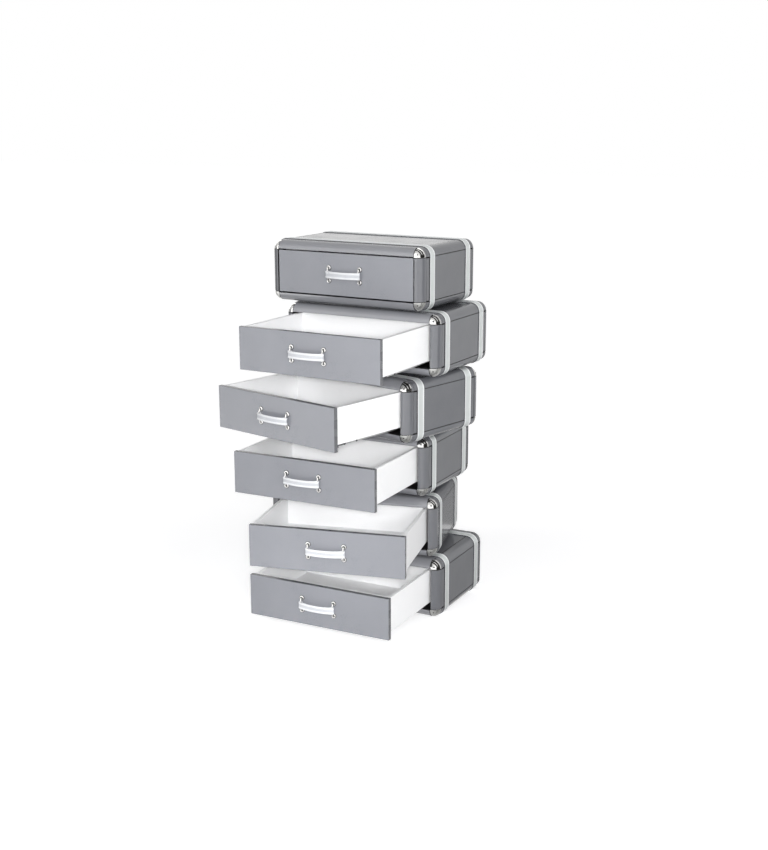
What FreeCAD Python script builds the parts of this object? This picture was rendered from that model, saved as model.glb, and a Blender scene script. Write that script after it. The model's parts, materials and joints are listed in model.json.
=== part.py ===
import FreeCAD, Part
import math
import os
import re
import Sketcher
from FreeCAD import Placement, Rotation, Vector

# A tall chest of six trunk-like cases, stacked with each one turned a little on the one below.
# Every case holds one drawer on a pair of undermount runners. All lengths are in millimetres.
#
# Case frame: origin at the case's centre, X to its right, Y to its back, Z up, front at -Y.
# Stack frame: the bottom case is square to X and Y. The origin lies on the floor under the
# middle of everything, open drawers included.

doc = FreeCAD.newDocument("ChestOfCases")
sheet = doc.addObject("Spreadsheet::Sheet", "Sizes")

SIZES = {
    # the case
    "case_width": 686,
    "case_depth": 448,
    "case_height": 240,
    "edge_radius": 35,
    "panel_thickness": 16,
    "back_thickness": 12,
    "frame_depth": 57,
    "cap_thickness": 2,
    "cap_lip": 5,
    "strap_width": 37.5,
    "strap_thickness": 3.3,
    "strap_clearance": 2.5,
    # the drawer
    "front_gap": 2.5,
    "front_thickness": 19,
    "front_edge_radius": 2.5,
    "box_side_gap": 6.5,
    "box_back_gap": 9,
    "box_side_thickness": 15,
    "box_top_drop": 2.5,
    "box_lift": 25.5,
    "floor_recess": 13,
    "floor_thickness": 6,
    "floor_groove": 6,
    # how much of each open drawer's box stays in its case
    "drawer_2_kept_depth": 39,
    "drawer_3_kept_depth": 46,
    "drawer_4_kept_depth": 48,
    "drawer_5_kept_depth": 48,
    "drawer_6_kept_depth": 48,
    # the handle
    "loop_spacing": 140,
    "loop_height": 50,
    "rod_radius": 2.8,
    "rod_bend": 3,
    "leg_straight": 1.8,
    "rod_fit": 0.05,
    "rosette_radius": 9,
    "rosette_height": 5,
    "grip_standoff": 12,
    "grip_height": 26,
    "grip_thickness": 4.5,
    "grip_eye_radius": 7.4,
    "grip_eye_fit": 0.3,
    "grip_bow": 16,
    "nut_height": 4,
    "nut_radius": 5.2,
    "nut_well_fit": 1,
    # the runners
    "runner_sheet": 1.5,
    "runner_fit": 0.3,
    "runner_side_gap": 2.0,
    "drawer_runner_width": 32,
    "middle_runner_width": 24,
    "cabinet_runner_reach": 52,
    "drawer_runner_height": 24.5,
    "runner_back_gap": 3,
    "flange_height": 20,
    "guide_height": 9.5,
    "batten_height": 30,
    "clip_length": 51,
    "lever_length": 12,
    "lever_drop": 7,
    "lever_width": 16,
    "runner_screw_radius": 1.75,
    "runner_screw_head_radius": 3.6,
    "runner_screw_head_height": 1.8,
    "runner_screw_length": 14,
    "runner_screw_inset": 40,
    "runner_screw_rise": 12,
    # the bolts through the stack
    "bolt_radius": 4,
    "bolt_hole_radius": 4.3,
    "bolt_head_radius": 7.4,
    "bolt_head_height": 5.3,
    "bolt_nut_height": 6.5,
    "thread_fit": 0.02,
    "spacer_radius": 15,
    "bolt_span_x": 220,
    "bolt_span_y": 100,
    # how each case sits on the stack: its centre from the bottom case's centre, and its turn
    "case_1_offset_x": -47,
    "case_1_offset_y": -16,
    "case_1_turn_angle": -3.5,
    "case_2_offset_x": 16,
    "case_2_offset_y": -21,
    "case_2_turn_angle": -2.6,
    "case_3_offset_x": -6,
    "case_3_offset_y": -62,
    "case_3_turn_angle": -14.1,
    "case_4_offset_x": -62,
    "case_4_offset_y": 1,
    "case_4_turn_angle": 0.3,
    "case_5_offset_x": -61,
    "case_5_offset_y": -60,
    "case_5_turn_angle": 12.5,
    "case_6_offset_x": 0,
    "case_6_offset_y": 0,
    "case_6_turn_angle": 0,
}

CASES = range(1, 7)
BOTTOM = max(CASES)
CLOSED_DRAWERS = (1,)

for row, (alias, value) in enumerate(SIZES.items(), start=1):
    sheet.set(f"A{row}", alias)
    sheet.set(f"B{row}", str(value))
    sheet.setAlias(f"B{row}", alias)
doc.recompute()


def size(alias):
    """A driving dimension, read from the sheet."""
    return float(sheet.get(alias))


def cells(formula):
    """A formula in plain names, with each name pointed at its cell."""
    known = lambda word: f"Sizes.{word[0]}" if word[0] in SIZES else word[0]
    return re.sub(r"[a-z_][a-z_0-9]*", known, str(formula))


def bind(item, **formulas):
    """Tie properties of an object to formulas on the sheet."""
    for name, formula in formulas.items():
        item.setExpression(name, cells(formula))
    return item


def put(item, x=0, y=0, z=0):
    """Tie an object's place to formulas on the sheet."""
    for letter, formula in zip("xyz", (x, y, z)):
        item.setExpression(f"Placement.Base.{letter}", cells(formula))
    return item


def turn(item, axis, degrees):
    item.Placement.Rotation = Rotation(Vector(*axis), degrees)
    return item


# ---- forms that repeat -------------------------------------------------------------------


def block(name, length, width, height, x, y, z):
    """A box with its lowest corner at x, y, z."""
    item = doc.addObject("Part::Box", name)
    bind(item, Length=length, Width=width, Height=height)
    return put(item, x, y, z)


def rod(name, radius, height, x, y, z, axis="Z"):
    """A round bar that starts at x, y, z and runs along an axis."""
    item = doc.addObject("Part::Cylinder", name)
    bind(item, Radius=radius, Height=height)
    turns = {"Z": ((0, 0, 1), 0), "Y": ((1, 0, 0), -90), "X": ((0, 1, 0), 90)}
    turn(item, *turns[axis])
    return put(item, x, y, z)


def quarter_bar(name, radius, height, axis, x, y, z):
    """A quarter-round bar whose round side faces out at the front, top and right of a case."""
    item = doc.addObject("Part::Cylinder", name)
    bind(item, Radius=radius, Height=height)
    item.Angle = 90
    turns = {
        "X": Rotation(Vector(0, -1, 0), Vector(0, 0, 1), Vector(-1, 0, 0)),
        "Y": Rotation(Vector(1, 0, 0), 90),
        "Z": Rotation(Vector(0, 0, 1), -90),
    }
    item.Placement.Rotation = turns[axis]
    return put(item, x, y, z)


def eighth_ball(name, radius, x, y, z):
    """An eighth of a ball that faces out at the front, top and right of a case."""
    item = doc.addObject("Part::Sphere", name)
    bind(item, Radius=radius)
    item.Angle1, item.Angle2, item.Angle3 = 0, 90, 90
    turn(item, (0, 0, 1), -90)
    return put(item, x, y, z)


def joined(name, *items):
    """One solid out of several that touch or run into each other."""
    item = doc.addObject("Part::MultiFuse", name)
    item.Shapes = list(items)
    item.Refine = True
    return item


def cut(name, base, *tools):
    item = doc.addObject("Part::Cut", name)
    item.Base = base
    item.Tool = tools[0] if len(tools) == 1 else group(name + "Tools", tools)
    return item


def group(name, items):
    """Separate solids kept in one object."""
    item = doc.addObject("Part::Compound", name)
    item.Links = list(items)
    return item


def mirrored(source, *axes):
    """The source and its mirror images in the case's middle planes, as one group."""
    normals = {"X": (1, 0, 0), "Y": (0, 1, 0), "Z": (0, 0, 1)}
    whole = source
    for axis in axes:
        image = doc.addObject("Part::Mirroring", f"{whole.Name}Mirror{axis}")
        image.Source = whole
        image.Normal = Vector(*normals[axis])
        whole = group(f"{whole.Name}And{axis}", [whole, image])
    return whole


def origin_plane(body, role):
    return next(feature for feature in body.Origin.OriginFeatures if feature.Role == role)


def centred_slab(name, plane, width, height, length, fillet=None, fillet_edges=None):
    """A body padded both ways from a centred rectangle, with chosen edges rounded."""
    body = doc.addObject("PartDesign::Body", name)
    sketch = body.newObject("Sketcher::SketchObject", name + "Outline")
    sketch.AttachmentSupport = [(origin_plane(body, plane), "")]
    sketch.MapMode = "FlatFace"
    corners = [Vector(x, y, 0) for x, y in ((-1, -1), (1, -1), (1, 1), (-1, 1))]
    for start, end in zip(corners, corners[1:] + corners[:1]):
        sketch.addGeometry(Part.LineSegment(start, end), False)
    for line in range(4):
        sketch.addConstraint(Sketcher.Constraint("Coincident", line, 2, (line + 1) % 4, 1))
        direction = "Horizontal" if line % 2 == 0 else "Vertical"
        sketch.addConstraint(Sketcher.Constraint(direction, line))
    sketch.addConstraint(Sketcher.Constraint("Symmetric", 0, 1, 1, 2, -1, 1))
    for key, kind, line, formula in (("wide", "DistanceX", 0, width), ("high", "DistanceY", 1, height)):
        sketch.addConstraint(Sketcher.Constraint(kind, line, 1, line, 2, 18))
        sketch.renameConstraint(sketch.ConstraintCount - 1, key)
        sketch.setExpression(f"Constraints.{key}", cells(formula))
    pad = body.newObject("PartDesign::Pad", name + "Pad")
    pad.Profile = sketch
    pad.Midplane = True
    bind(pad, Length=length)
    doc.recompute()
    if fillet:
        rounding = body.newObject("PartDesign::Fillet", name + "Rounding")
        chosen = [f"Edge{i}" for i, edge in enumerate(pad.Shape.Edges, start=1) if fillet_edges(edge)]
        rounding.Base = (pad, chosen)
        bind(rounding, Radius=fillet)
        body.Tip = rounding
    doc.recompute()
    return body


def on_front(edge):
    """Tells whether an edge lies on the face that looks to -Y."""
    return all(abs(v.Y + size("front_thickness") / 2) < 1e-6 for v in edge.Vertexes)


# ---- the case: mouldings, panels, corner caps and straps ---------------------------------

HALF_W, HALF_D, HALF_H = "case_width / 2", "case_depth / 2", "case_height / 2"
CORNER_X = f"({HALF_W} - edge_radius)"
CORNER_Y = f"({HALF_D} - edge_radius)"
CORNER_Z = f"({HALF_H} - edge_radius)"
FRAME_END = f"({HALF_D} - frame_depth)"

FLANGE = "frame_depth - edge_radius"
rail = joined(
    "Rail",
    quarter_bar("RailRound", "edge_radius", f"2 * {CORNER_X}", "X", CORNER_X, f"-{CORNER_Y}", CORNER_Z),
    block("RailFlange", f"2 * {CORNER_X}", FLANGE, "panel_thickness",
          f"-{CORNER_X}", f"-{CORNER_Y}", f"{HALF_H} - panel_thickness"),
)
stile = joined(
    "Stile",
    quarter_bar("StileRound", "edge_radius", f"2 * {CORNER_Z}", "Z",
                CORNER_X, f"-{CORNER_Y}", f"-{CORNER_Z}"),
    block("StileFlange", "panel_thickness", FLANGE, f"2 * {CORNER_Z}",
          f"{HALF_W} - panel_thickness", f"-{CORNER_Y}", f"-{CORNER_Z}"),
)
EDGE_LENGTH = f"2 * ({CORNER_Y} - cap_lip)"
edge_bar = quarter_bar("EdgeBar", "edge_radius", EDGE_LENGTH, "Y",
                       CORNER_X, f"{CORNER_Y} - cap_lip", CORNER_Z)


def corner_piece(name, radius):
    """The ball corner with its short lip along the case's long edge."""
    ball = eighth_ball(name + "Ball", radius, CORNER_X, f"-{CORNER_Y}", CORNER_Z)
    lip = quarter_bar(name + "Lip", radius, "cap_lip", "Y", CORNER_X, f"-{CORNER_Y} + cap_lip", CORNER_Z)
    return joined(name, ball, lip)


corner_block = corner_piece("CornerBlock", "edge_radius - cap_thickness")
corner_cap = cut("CornerCap", corner_piece("CornerOuter", "edge_radius"), corner_block)

side_panel = block("SidePanel", "panel_thickness", f"2 * {FRAME_END}", f"2 * {CORNER_Z}",
                   f"{HALF_W} - panel_thickness", f"-{FRAME_END}", f"-{CORNER_Z}")
back_panel = block("BackPanel", f"2 * {CORNER_X}", "back_thickness", f"2 * {CORNER_Z}",
                   f"-{CORNER_X}", f"{HALF_D} - back_thickness", f"-{CORNER_Z}")

# the undermount runners stand on levels worked out from the drawer's box
BOX_BOTTOM = f"(front_gap + box_lift - {CORNER_Z})"
FLOOR_UNDER = f"({BOX_BOTTOM} + floor_recess)"
PLATE_TOP = f"({FLOOR_UNDER} - drawer_runner_height - runner_side_gap - runner_fit)"
PLATE_UNDER = f"({PLATE_TOP} - runner_sheet)"

batten = block("Batten", "edge_radius - panel_thickness", f"2 * {FRAME_END}", "batten_height",
               CORNER_X, f"-{FRAME_END}", PLATE_UNDER)

# each strap is four straight lengths and four quarter bends, welded end to end
STRAP_FRONT = f"(-{FRAME_END} + strap_clearance)"
STRAP_REAR = f"({STRAP_FRONT} + strap_width)"
flat_band = block("FlatBand", f"2 * {CORNER_X}", "strap_width", "strap_thickness",
                  f"-{CORNER_X}", STRAP_FRONT, HALF_H)
side_band = block("SideBand", "strap_thickness", "strap_width", f"2 * {CORNER_Z}",
                  HALF_W, STRAP_FRONT, f"-{CORNER_Z}")
bent_band = cut(
    "BentBand",
    quarter_bar("BendOuter", "edge_radius + strap_thickness", "strap_width", "Y",
                CORNER_X, STRAP_REAR, CORNER_Z),
    quarter_bar("BendInner", "edge_radius", "strap_width", "Y", CORNER_X, STRAP_REAR, CORNER_Z),
)
straps = [
    mirrored(flat_band, "Z", "Y"),
    mirrored(side_band, "X", "Y"),
    mirrored(bent_band, "X", "Z", "Y"),
]

carcass_pieces = [
    mirrored(rail, "Z", "Y"),
    mirrored(stile, "X", "Y"),
    mirrored(edge_bar, "X", "Z"),
    mirrored(corner_block, "X", "Y", "Z"),
    mirrored(side_panel, "X"),
    back_panel,
]
corner_caps = mirrored(corner_cap, "X", "Y", "Z")

# ---- the drawer: front, box and handle ---------------------------------------------------

FRONT_Y = f"(-{HALF_D})"
FRONT_BACK = f"({FRONT_Y} + front_thickness)"
HALF_FRONT_H = f"({CORNER_Z} - front_gap)"
BOX_TOP = f"({HALF_FRONT_H} - box_top_drop)"
BOX_HEIGHT = f"({BOX_TOP} - {BOX_BOTTOM})"
BOX_INNER = f"({CORNER_X} - box_side_gap - box_side_thickness)"
BOX_DEPTH = "(case_depth - back_thickness - front_thickness - box_back_gap)"

front_board = centred_slab("FrontBoard", "XZ_Plane", f"2 * ({CORNER_X} - front_gap)", f"2 * {HALF_FRONT_H}",
                           "front_thickness", "front_edge_radius", on_front)
placed_board = put(group("PlacedBoard", [front_board]), y=f"{FRONT_Y} + front_thickness / 2")
leg_places = [(sx, sz) for sx in (-1, 1) for sz in (-1, 1)]


def at_legs(name, radius, height, y):
    """One round bar along Y at each of the four places where a handle leg enters the front."""
    bars = [
        rod(f"{name}{i}", radius, height, f"{sx} * loop_spacing / 2", y, f"{sz} * loop_height / 2", "Y")
        for i, (sx, sz) in enumerate(leg_places)
    ]
    return group(name, bars)


leg_holes = at_legs("LegHoles", "rod_radius + rod_fit", "front_thickness", FRONT_Y)
nut_wells = at_legs("NutWells", "nut_radius + nut_well_fit", "nut_height", f"{FRONT_BACK} - nut_height")
drawer_front = cut("DrawerFront", placed_board, joined("FrontHoles", leg_holes, nut_wells))

floor_panel = block("FloorPanel", f"2 * ({BOX_INNER} + floor_groove)",
                    f"{BOX_DEPTH} - 2 * (box_side_thickness - floor_groove)", "floor_thickness",
                    f"-({BOX_INNER} + floor_groove)", f"{FRONT_BACK} + box_side_thickness - floor_groove",
                    FLOOR_UNDER)
side_board = cut("SideBoard", block("SideBlank", "box_side_thickness", BOX_DEPTH, BOX_HEIGHT,
                                    BOX_INNER, FRONT_BACK, BOX_BOTTOM), floor_panel)
inner_front = cut("InnerFront", block("InnerFrontBlank", f"2 * {BOX_INNER}", "box_side_thickness",
                                      BOX_HEIGHT, f"-{BOX_INNER}", FRONT_BACK, BOX_BOTTOM), floor_panel)
box_back = cut("BoxBack", block("BoxBackBlank", f"2 * {BOX_INNER}", "box_side_thickness",
                                f"{BOX_TOP} - {FLOOR_UNDER}", f"-{BOX_INNER}",
                                f"{FRONT_BACK} + {BOX_DEPTH} - box_side_thickness", FLOOR_UNDER), floor_panel)
drawer_box = [mirrored(side_board, "X"), inner_front, box_back, floor_panel]


def bent_rod(points, radius, bend):
    """A round rod along straight runs joined by tangent arcs."""
    points = [Vector(*point) for point in points]
    edges, start = [], points[0]
    for before, corner, after in zip(points, points[1:], points[2:]):
        a = (before - corner).normalize()
        b = (after - corner).normalize()
        half = a.getAngle(b) / 2
        reach = bend / math.tan(half)
        first, last = corner + a * reach, corner + b * reach
        middle = corner + (a + b).normalize() * (bend / math.sin(half) - bend)
        edges.append(Part.LineSegment(start, first).toShape())
        edges.append(Part.Arc(first, middle, last).toShape())
        start = last
    edges.append(Part.LineSegment(start, points[-1]).toShape())
    path = Part.Wire(edges)
    section = Part.Wire(Part.makeCircle(radius, points[0], points[1] - points[0]))
    return path.makePipeShell([section], True, True)


def loop_shape():
    """The bail that the grip's end is sewn round, with its two legs through the front."""
    face = -size("case_depth") / 2
    inside = face + size("front_thickness")
    knee = face - size("rosette_height") - size("leg_straight")
    out = face - size("grip_standoff")
    high = size("loop_height") / 2
    eye = size("grip_height") / 2
    side = size("loop_spacing") / 2
    route = [(inside, high), (knee, high), (out, eye), (out, -eye), (knee, -high), (inside, -high)]
    return bent_rod([(side, y, z) for y, z in route], size("rod_radius"), size("rod_bend"))


loop = doc.addObject("Part::Feature", "Loop")
loop.Shape = loop_shape()
rosette_ball = doc.addObject("Part::Sphere", "RosetteBall")
ROSETTE_BALL = "((rosette_radius^2 + rosette_height^2) / (2 * rosette_height))"
bind(rosette_ball, Radius=ROSETTE_BALL)
put(rosette_ball, "loop_spacing / 2", f"{FRONT_Y} - rosette_height + {ROSETTE_BALL}", "loop_height / 2")
rosette_half = block("RosetteHalf", "4 * rosette_radius", "2 * rosette_height", "4 * rosette_radius",
                     "loop_spacing / 2 - 2 * rosette_radius", f"{FRONT_Y} - 2 * rosette_height",
                     "loop_height / 2 - 2 * rosette_radius")
rosette_dome = doc.addObject("Part::Common", "RosetteDome")
rosette_dome.Base, rosette_dome.Tool = rosette_ball, rosette_half
rosette_bore = rod("RosetteBore", "rod_radius", "2 * rosette_height", "loop_spacing / 2",
                   f"{FRONT_Y} - 2 * rosette_height", "loop_height / 2", "Y")
rosette = cut("Rosette", rosette_dome, rosette_bore)
leg_nut = rod("LegNut", "nut_radius", "nut_height", "loop_spacing / 2", f"{FRONT_BACK} - nut_height",
              "loop_height / 2", "Y")
nut_bore = rod("NutBore", "rod_radius + thread_fit", "2 * nut_height", "loop_spacing / 2",
               f"{FRONT_BACK} - 1.5 * nut_height", "loop_height / 2", "Y")
handle_metal = [
    mirrored(loop, "X"),
    mirrored(rosette, "X", "Z"),
    mirrored(cut("RoundNut", leg_nut, nut_bore), "X", "Z"),
]

GRIP_Y = f"({FRONT_Y} - grip_standoff)"
BOW_RADIUS = "(((loop_spacing / 2)^2 + grip_bow^2) / (2 * grip_bow))"
BOW_CENTRE = f"({GRIP_Y} - grip_bow + {BOW_RADIUS})"
HALF_GRIP = "(grip_height / 2)"
band_ring = cut(
    "BandRing",
    rod("BandOuter", f"{BOW_RADIUS} + grip_thickness / 2", "grip_height", 0, BOW_CENTRE, f"-{HALF_GRIP}"),
    rod("BandInner", f"{BOW_RADIUS} - grip_thickness / 2", "grip_height", 0, BOW_CENTRE, f"-{HALF_GRIP}"),
)
band = doc.addObject("Part::Common", "Band")
band.Base = band_ring
band.Tool = block("BandWindow", "loop_spacing", "grip_bow + grip_thickness", "grip_height",
                  "-loop_spacing / 2", f"{GRIP_Y} - grip_bow - grip_thickness", f"-{HALF_GRIP}")
grip_eye = rod("GripEye", "grip_eye_radius", "grip_height", "loop_spacing / 2", GRIP_Y, f"-{HALF_GRIP}")
grip_bore = rod("GripBore", "rod_radius + grip_eye_fit", "grip_height", "loop_spacing / 2", GRIP_Y,
                f"-{HALF_GRIP}")
grip_full = joined("GripFull", band, mirrored(grip_eye, "X"))
grip = cut("Grip", grip_full, mirrored(grip_bore, "X"), mirrored(loop, "X"))

# ---- the runners -------------------------------------------------------------------------

RUNNER_FRONT = f"({FRONT_BACK} + box_side_thickness + clip_length)"
RUNNER_BACK = f"({FRONT_BACK} + {BOX_DEPTH} - runner_back_gap)"
RUNNER_OUT = f"({BOX_INNER} - runner_side_gap)"


def channel(name, outer_x, width, low, high):
    """An inverted channel of folded sheet that runs the length of a runner."""
    length = f"{RUNNER_BACK} - {RUNNER_FRONT}"
    top = block(name + "Top", width, length, "runner_sheet",
                f"{outer_x} - {width}", RUNNER_FRONT, f"{high} - runner_sheet")
    outer = block(name + "Outer", "runner_sheet", length, f"{high} - {low}",
                  f"{outer_x} - runner_sheet", RUNNER_FRONT, low)
    inner = block(name + "Inner", "runner_sheet", length, f"{high} - {low}",
                  f"{outer_x} - {width}", RUNNER_FRONT, low)
    return joined(name, top, outer, inner)


MIDDLE_OUT = f"({RUNNER_OUT} - (drawer_runner_width - middle_runner_width) / 2)"
MIDDLE_TOP = f"({FLOOR_UNDER} - runner_sheet - runner_fit)"
MIDDLE_LOW = f"({PLATE_TOP} + runner_fit)"
drawer_channel = channel("DrawerChannel", RUNNER_OUT, "drawer_runner_width",
                         f"({FLOOR_UNDER} - drawer_runner_height)", FLOOR_UNDER)
middle_channel = channel("MiddleChannel", MIDDLE_OUT, "middle_runner_width", MIDDLE_LOW, MIDDLE_TOP)
middle_runners = mirrored(middle_channel, "X")

cabinet_plate = joined(
    "CabinetPlate",
    block("CabinetShelf", "cabinet_runner_reach", f"{RUNNER_BACK} + {FRAME_END}", "runner_sheet",
          f"{CORNER_X} - cabinet_runner_reach", f"-{FRAME_END}", PLATE_UNDER),
    block("CabinetFlange", "runner_sheet", f"2 * {FRAME_END}", "flange_height",
          f"{CORNER_X} - runner_sheet", f"-{FRAME_END}", PLATE_UNDER),
    block("CabinetGuide", "runner_sheet", f"{RUNNER_BACK} - {RUNNER_FRONT}", "guide_height",
          f"{MIDDLE_OUT} - middle_runner_width / 2", RUNNER_FRONT, PLATE_UNDER),
)
SCREW_Z = f"({PLATE_UNDER} + runner_screw_rise)"
screw_rows = [f"-({FRAME_END} - runner_screw_inset)", f"({FRAME_END} - runner_screw_inset)"]


def runner_screw(i, y):
    shank = rod(f"RunnerShank{i}", "runner_screw_radius", "runner_screw_length",
                f"{CORNER_X} - runner_sheet", y, SCREW_Z, "X")
    head = rod(f"RunnerHead{i}", "runner_screw_head_radius", "runner_screw_head_height",
               f"{CORNER_X} - runner_sheet - runner_screw_head_height", y, SCREW_Z, "X")
    return joined(f"RunnerScrew{i}", shank, head)


screws = [runner_screw(i, y) for i, y in enumerate(screw_rows)]
runner_screws = mirrored(group("RunnerScrews", screws), "X")
cabinet_runner = cut("CabinetRunner", cabinet_plate, *screws)
cabinet_runners = mirrored(cabinet_runner, "X")
carcass_pieces.append(mirrored(cut("DrilledBatten", batten, *screws), "X"))

CLIP_X = f"{RUNNER_OUT} - drawer_runner_width"
CLIP_LOW = f"({FLOOR_UNDER} - drawer_runner_height)"
clip = joined(
    "Clip",
    block("ClipBody", "drawer_runner_width", "clip_length", "drawer_runner_height",
          CLIP_X, f"{FRONT_BACK} + box_side_thickness", CLIP_LOW),
    block("ClipToe", "drawer_runner_width", "box_side_thickness + runner_sheet", f"{BOX_BOTTOM} - {CLIP_LOW}",
          CLIP_X, FRONT_BACK, CLIP_LOW),
    block("ClipLever", "lever_width", "lever_length", "lever_drop",
          f"{RUNNER_OUT} - lever_width", f"{FRONT_BACK} + box_side_thickness", f"{CLIP_LOW} - lever_drop"),
)
drawer_runners = [mirrored(drawer_channel, "X"), mirrored(clip, "X")]

# ---- where the cases stand ---------------------------------------------------------------


def case_place(case):
    """A case's centre and turn, measured from the floor under the bottom case's centre."""
    pitch = size("case_height") + 2 * size("strap_thickness")
    height = size("strap_thickness") + size("case_height") / 2 + (BOTTOM - case) * pitch
    place = Vector(size(f"case_{case}_offset_x"), size(f"case_{case}_offset_y"), height)
    return Placement(place, Rotation(Vector(0, 0, 1), size(f"case_{case}_turn_angle")))


def opened(case, share=1.0):
    """How far a drawer stands out of its case, or the share of that by which its runner follows."""
    if case in CLOSED_DRAWERS:
        return Placement()
    box_depth = size("case_depth") - size("back_thickness") - size("front_thickness") - size("box_back_gap")
    reach = box_depth - size(f"drawer_{case}_kept_depth")
    return Placement(Vector(0, -reach * share, 0), Rotation())


def footprint_centre():
    """The middle of the floor area that the cases, open drawers and handles cover."""
    wide, deep = size("case_width") / 2, size("case_depth") / 2
    radius, proud = size("edge_radius"), size("strap_thickness")
    grip = size("grip_standoff") + size("grip_bow") + size("grip_thickness") / 2
    front = wide - radius - size("front_gap")
    across, back = (radius - wide, wide - radius), (radius - deep, deep - radius)
    rounds = [(x, y, radius) for x in across for y in back]
    band = deep - size("frame_depth") - size("strap_clearance")
    rounds += [(x, y, 0) for x in (-wide - proud, wide + proud) for y in (-band, band)]
    fronts = [(x, -deep, 0) for x in (-front, front)] + [(0, -deep - grip, 0)]
    spans = []
    for case in CASES:
        here = case_place(case)
        for points, move in ((rounds, here), (fronts, here * opened(case))):
            for x, y, r in points:
                at = move.multVec(Vector(x, y, 0))
                spans.append((at.x - r, at.x + r, at.y - r, at.y + r))
    lows_x, highs_x, lows_y, highs_y = zip(*spans)
    return Vector((min(lows_x) + max(highs_x)) / 2, (min(lows_y) + max(highs_y)) / 2, 0)


to_origin = Placement(-footprint_centre(), Rotation())
subparts = []


def subpart(label, pieces, placement):
    """A named sub-part: its solids, moved to their place in the stack."""
    item = group("Node_" + label, pieces if isinstance(pieces, list) else [pieces])
    item.Label = label
    item.Placement = to_origin * placement
    subparts.append(item)


# ---- the bolts between the cases ---------------------------------------------------------


def joint_place(upper):
    """Between two cases, midway between their centres and turns, on the upper case's underside."""
    above, below = case_place(upper), case_place(upper + 1)
    middle = (above.Base + below.Base) * 0.5
    middle.z = above.Base.z - size("case_height") / 2
    turned = (size(f"case_{upper}_turn_angle") + size(f"case_{upper + 1}_turn_angle")) / 2
    return Placement(middle, Rotation(Vector(0, 0, 1), turned))


bolt_places = [(sx, sy) for sx in (-1, 1) for sy in (-1, 1)]
GAP = "2 * strap_thickness"
bolts, nuts, spacers = [], [], []
for i, (sx, sy) in enumerate(bolt_places):
    x, y = f"{sx} * bolt_span_x / 2", f"{sy} * bolt_span_y / 2"
    LOW = f"-({GAP} + panel_thickness + bolt_nut_height)"
    shank = rod(f"BoltShank{i}", "bolt_radius", f"{GAP} + 2 * panel_thickness + bolt_nut_height",
                x, y, LOW)
    head = doc.addObject("Part::Prism", f"BoltHead{i}")
    bind(head, Circumradius="bolt_head_radius", Height="bolt_head_height")
    put(head, x, y, "panel_thickness")
    bolts.append(joined(f"Bolt{i}", shank, head))
    nut = doc.addObject("Part::Prism", f"NutBlank{i}")
    bind(nut, Circumradius="bolt_head_radius", Height="bolt_nut_height")
    put(nut, x, y, LOW)
    bore = rod(f"NutThread{i}", "bolt_radius + thread_fit", "bolt_nut_height", x, y, LOW)
    nuts.append(cut(f"Nut{i}", nut, bore))
    disc = rod(f"SpacerDisc{i}", "spacer_radius", GAP, x, y, f"-{GAP}")
    hole = rod(f"SpacerHole{i}", "bolt_hole_radius", GAP, x, y, f"-{GAP}")
    spacers.append(cut(f"Spacer{i}", disc, hole))


def bolt_holes(case, upper):
    """Drills for the joint under case `upper`, in the frame of one of its two cases."""
    to_case = case_place(case).inverse() * joint_place(upper)
    drills = []
    for i, (sx, sy) in enumerate(bolt_places):
        drill = doc.addObject("Part::Cylinder", f"Drill{case}_{upper}_{i}")
        bind(drill, Radius="bolt_hole_radius", Height="4 * panel_thickness + 2 * strap_thickness")
        spot = Vector(sx * size("bolt_span_x") / 2, sy * size("bolt_span_y") / 2,
                      -2 * size("panel_thickness") - 2 * size("strap_thickness"))
        drill.Placement = Placement(to_case.multVec(spot), Rotation())
        drills.append(drill)
    return group(f"Drills{case}_{upper}", drills)


def flat_panel(case, name, z, upper):
    """The case's flat top or bottom, drilled where bolts pass through it."""
    panel = block(f"{name}{case}", f"2 * {CORNER_X}", f"2 * {FRAME_END}", "panel_thickness",
                  f"-{CORNER_X}", f"-{FRAME_END}", z)
    has_joint = upper in CASES and upper + 1 in CASES
    return cut(f"Drilled{name}{case}", panel, bolt_holes(case, upper)) if has_joint else panel


# ---- the sub-parts -----------------------------------------------------------------------

for case in CASES:
    here = case_place(case)
    top = flat_panel(case, "TopPanel", f"{HALF_H} - panel_thickness", case - 1)
    bottom = flat_panel(case, "BottomPanel", f"-{HALF_H}", case)
    subpart(f"case_{case}_carcass", carcass_pieces + [top, bottom], here)
    subpart(f"case_{case}_corner_caps", corner_caps, here)
    subpart(f"case_{case}_straps", straps, here)
    out = here * opened(case)
    subpart(f"drawer_{case}_front", drawer_front, out)
    subpart(f"drawer_{case}_box", drawer_box, out)
    subpart(f"drawer_{case}_handle_grip", grip, out)
    subpart(f"drawer_{case}_handle_loops", handle_metal, out)
    subpart(f"drawer_{case}_runners", drawer_runners, out)
    subpart(f"middle_runners_{case}", middle_runners, here * opened(case, 0.5))


def repeated(name, source, placements):
    """A source repeated at several places, as one group."""
    copies = []
    for i, placement in enumerate(placements):
        copy = group(f"{name}{i}", source if isinstance(source, list) else [source])
        copy.Placement = placement
        copies.append(copy)
    return copies


every_case = [case_place(case) for case in CASES]
every_joint = [joint_place(case) for case in CASES if case != BOTTOM]
unmoved = Placement()
subpart("cabinet_runners", repeated("CabinetRunners", cabinet_runners, every_case), unmoved)
subpart("runner_screws", repeated("CaseScrews", runner_screws, every_case), unmoved)
subpart("stack_bolts", repeated("JointBolts", bolts, every_joint), unmoved)
subpart("stack_nuts", repeated("JointNuts", nuts, every_joint), unmoved)
subpart("stack_spacers", repeated("JointSpacers", spacers, every_joint), unmoved)

# ---- check and write ---------------------------------------------------------------------

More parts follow.
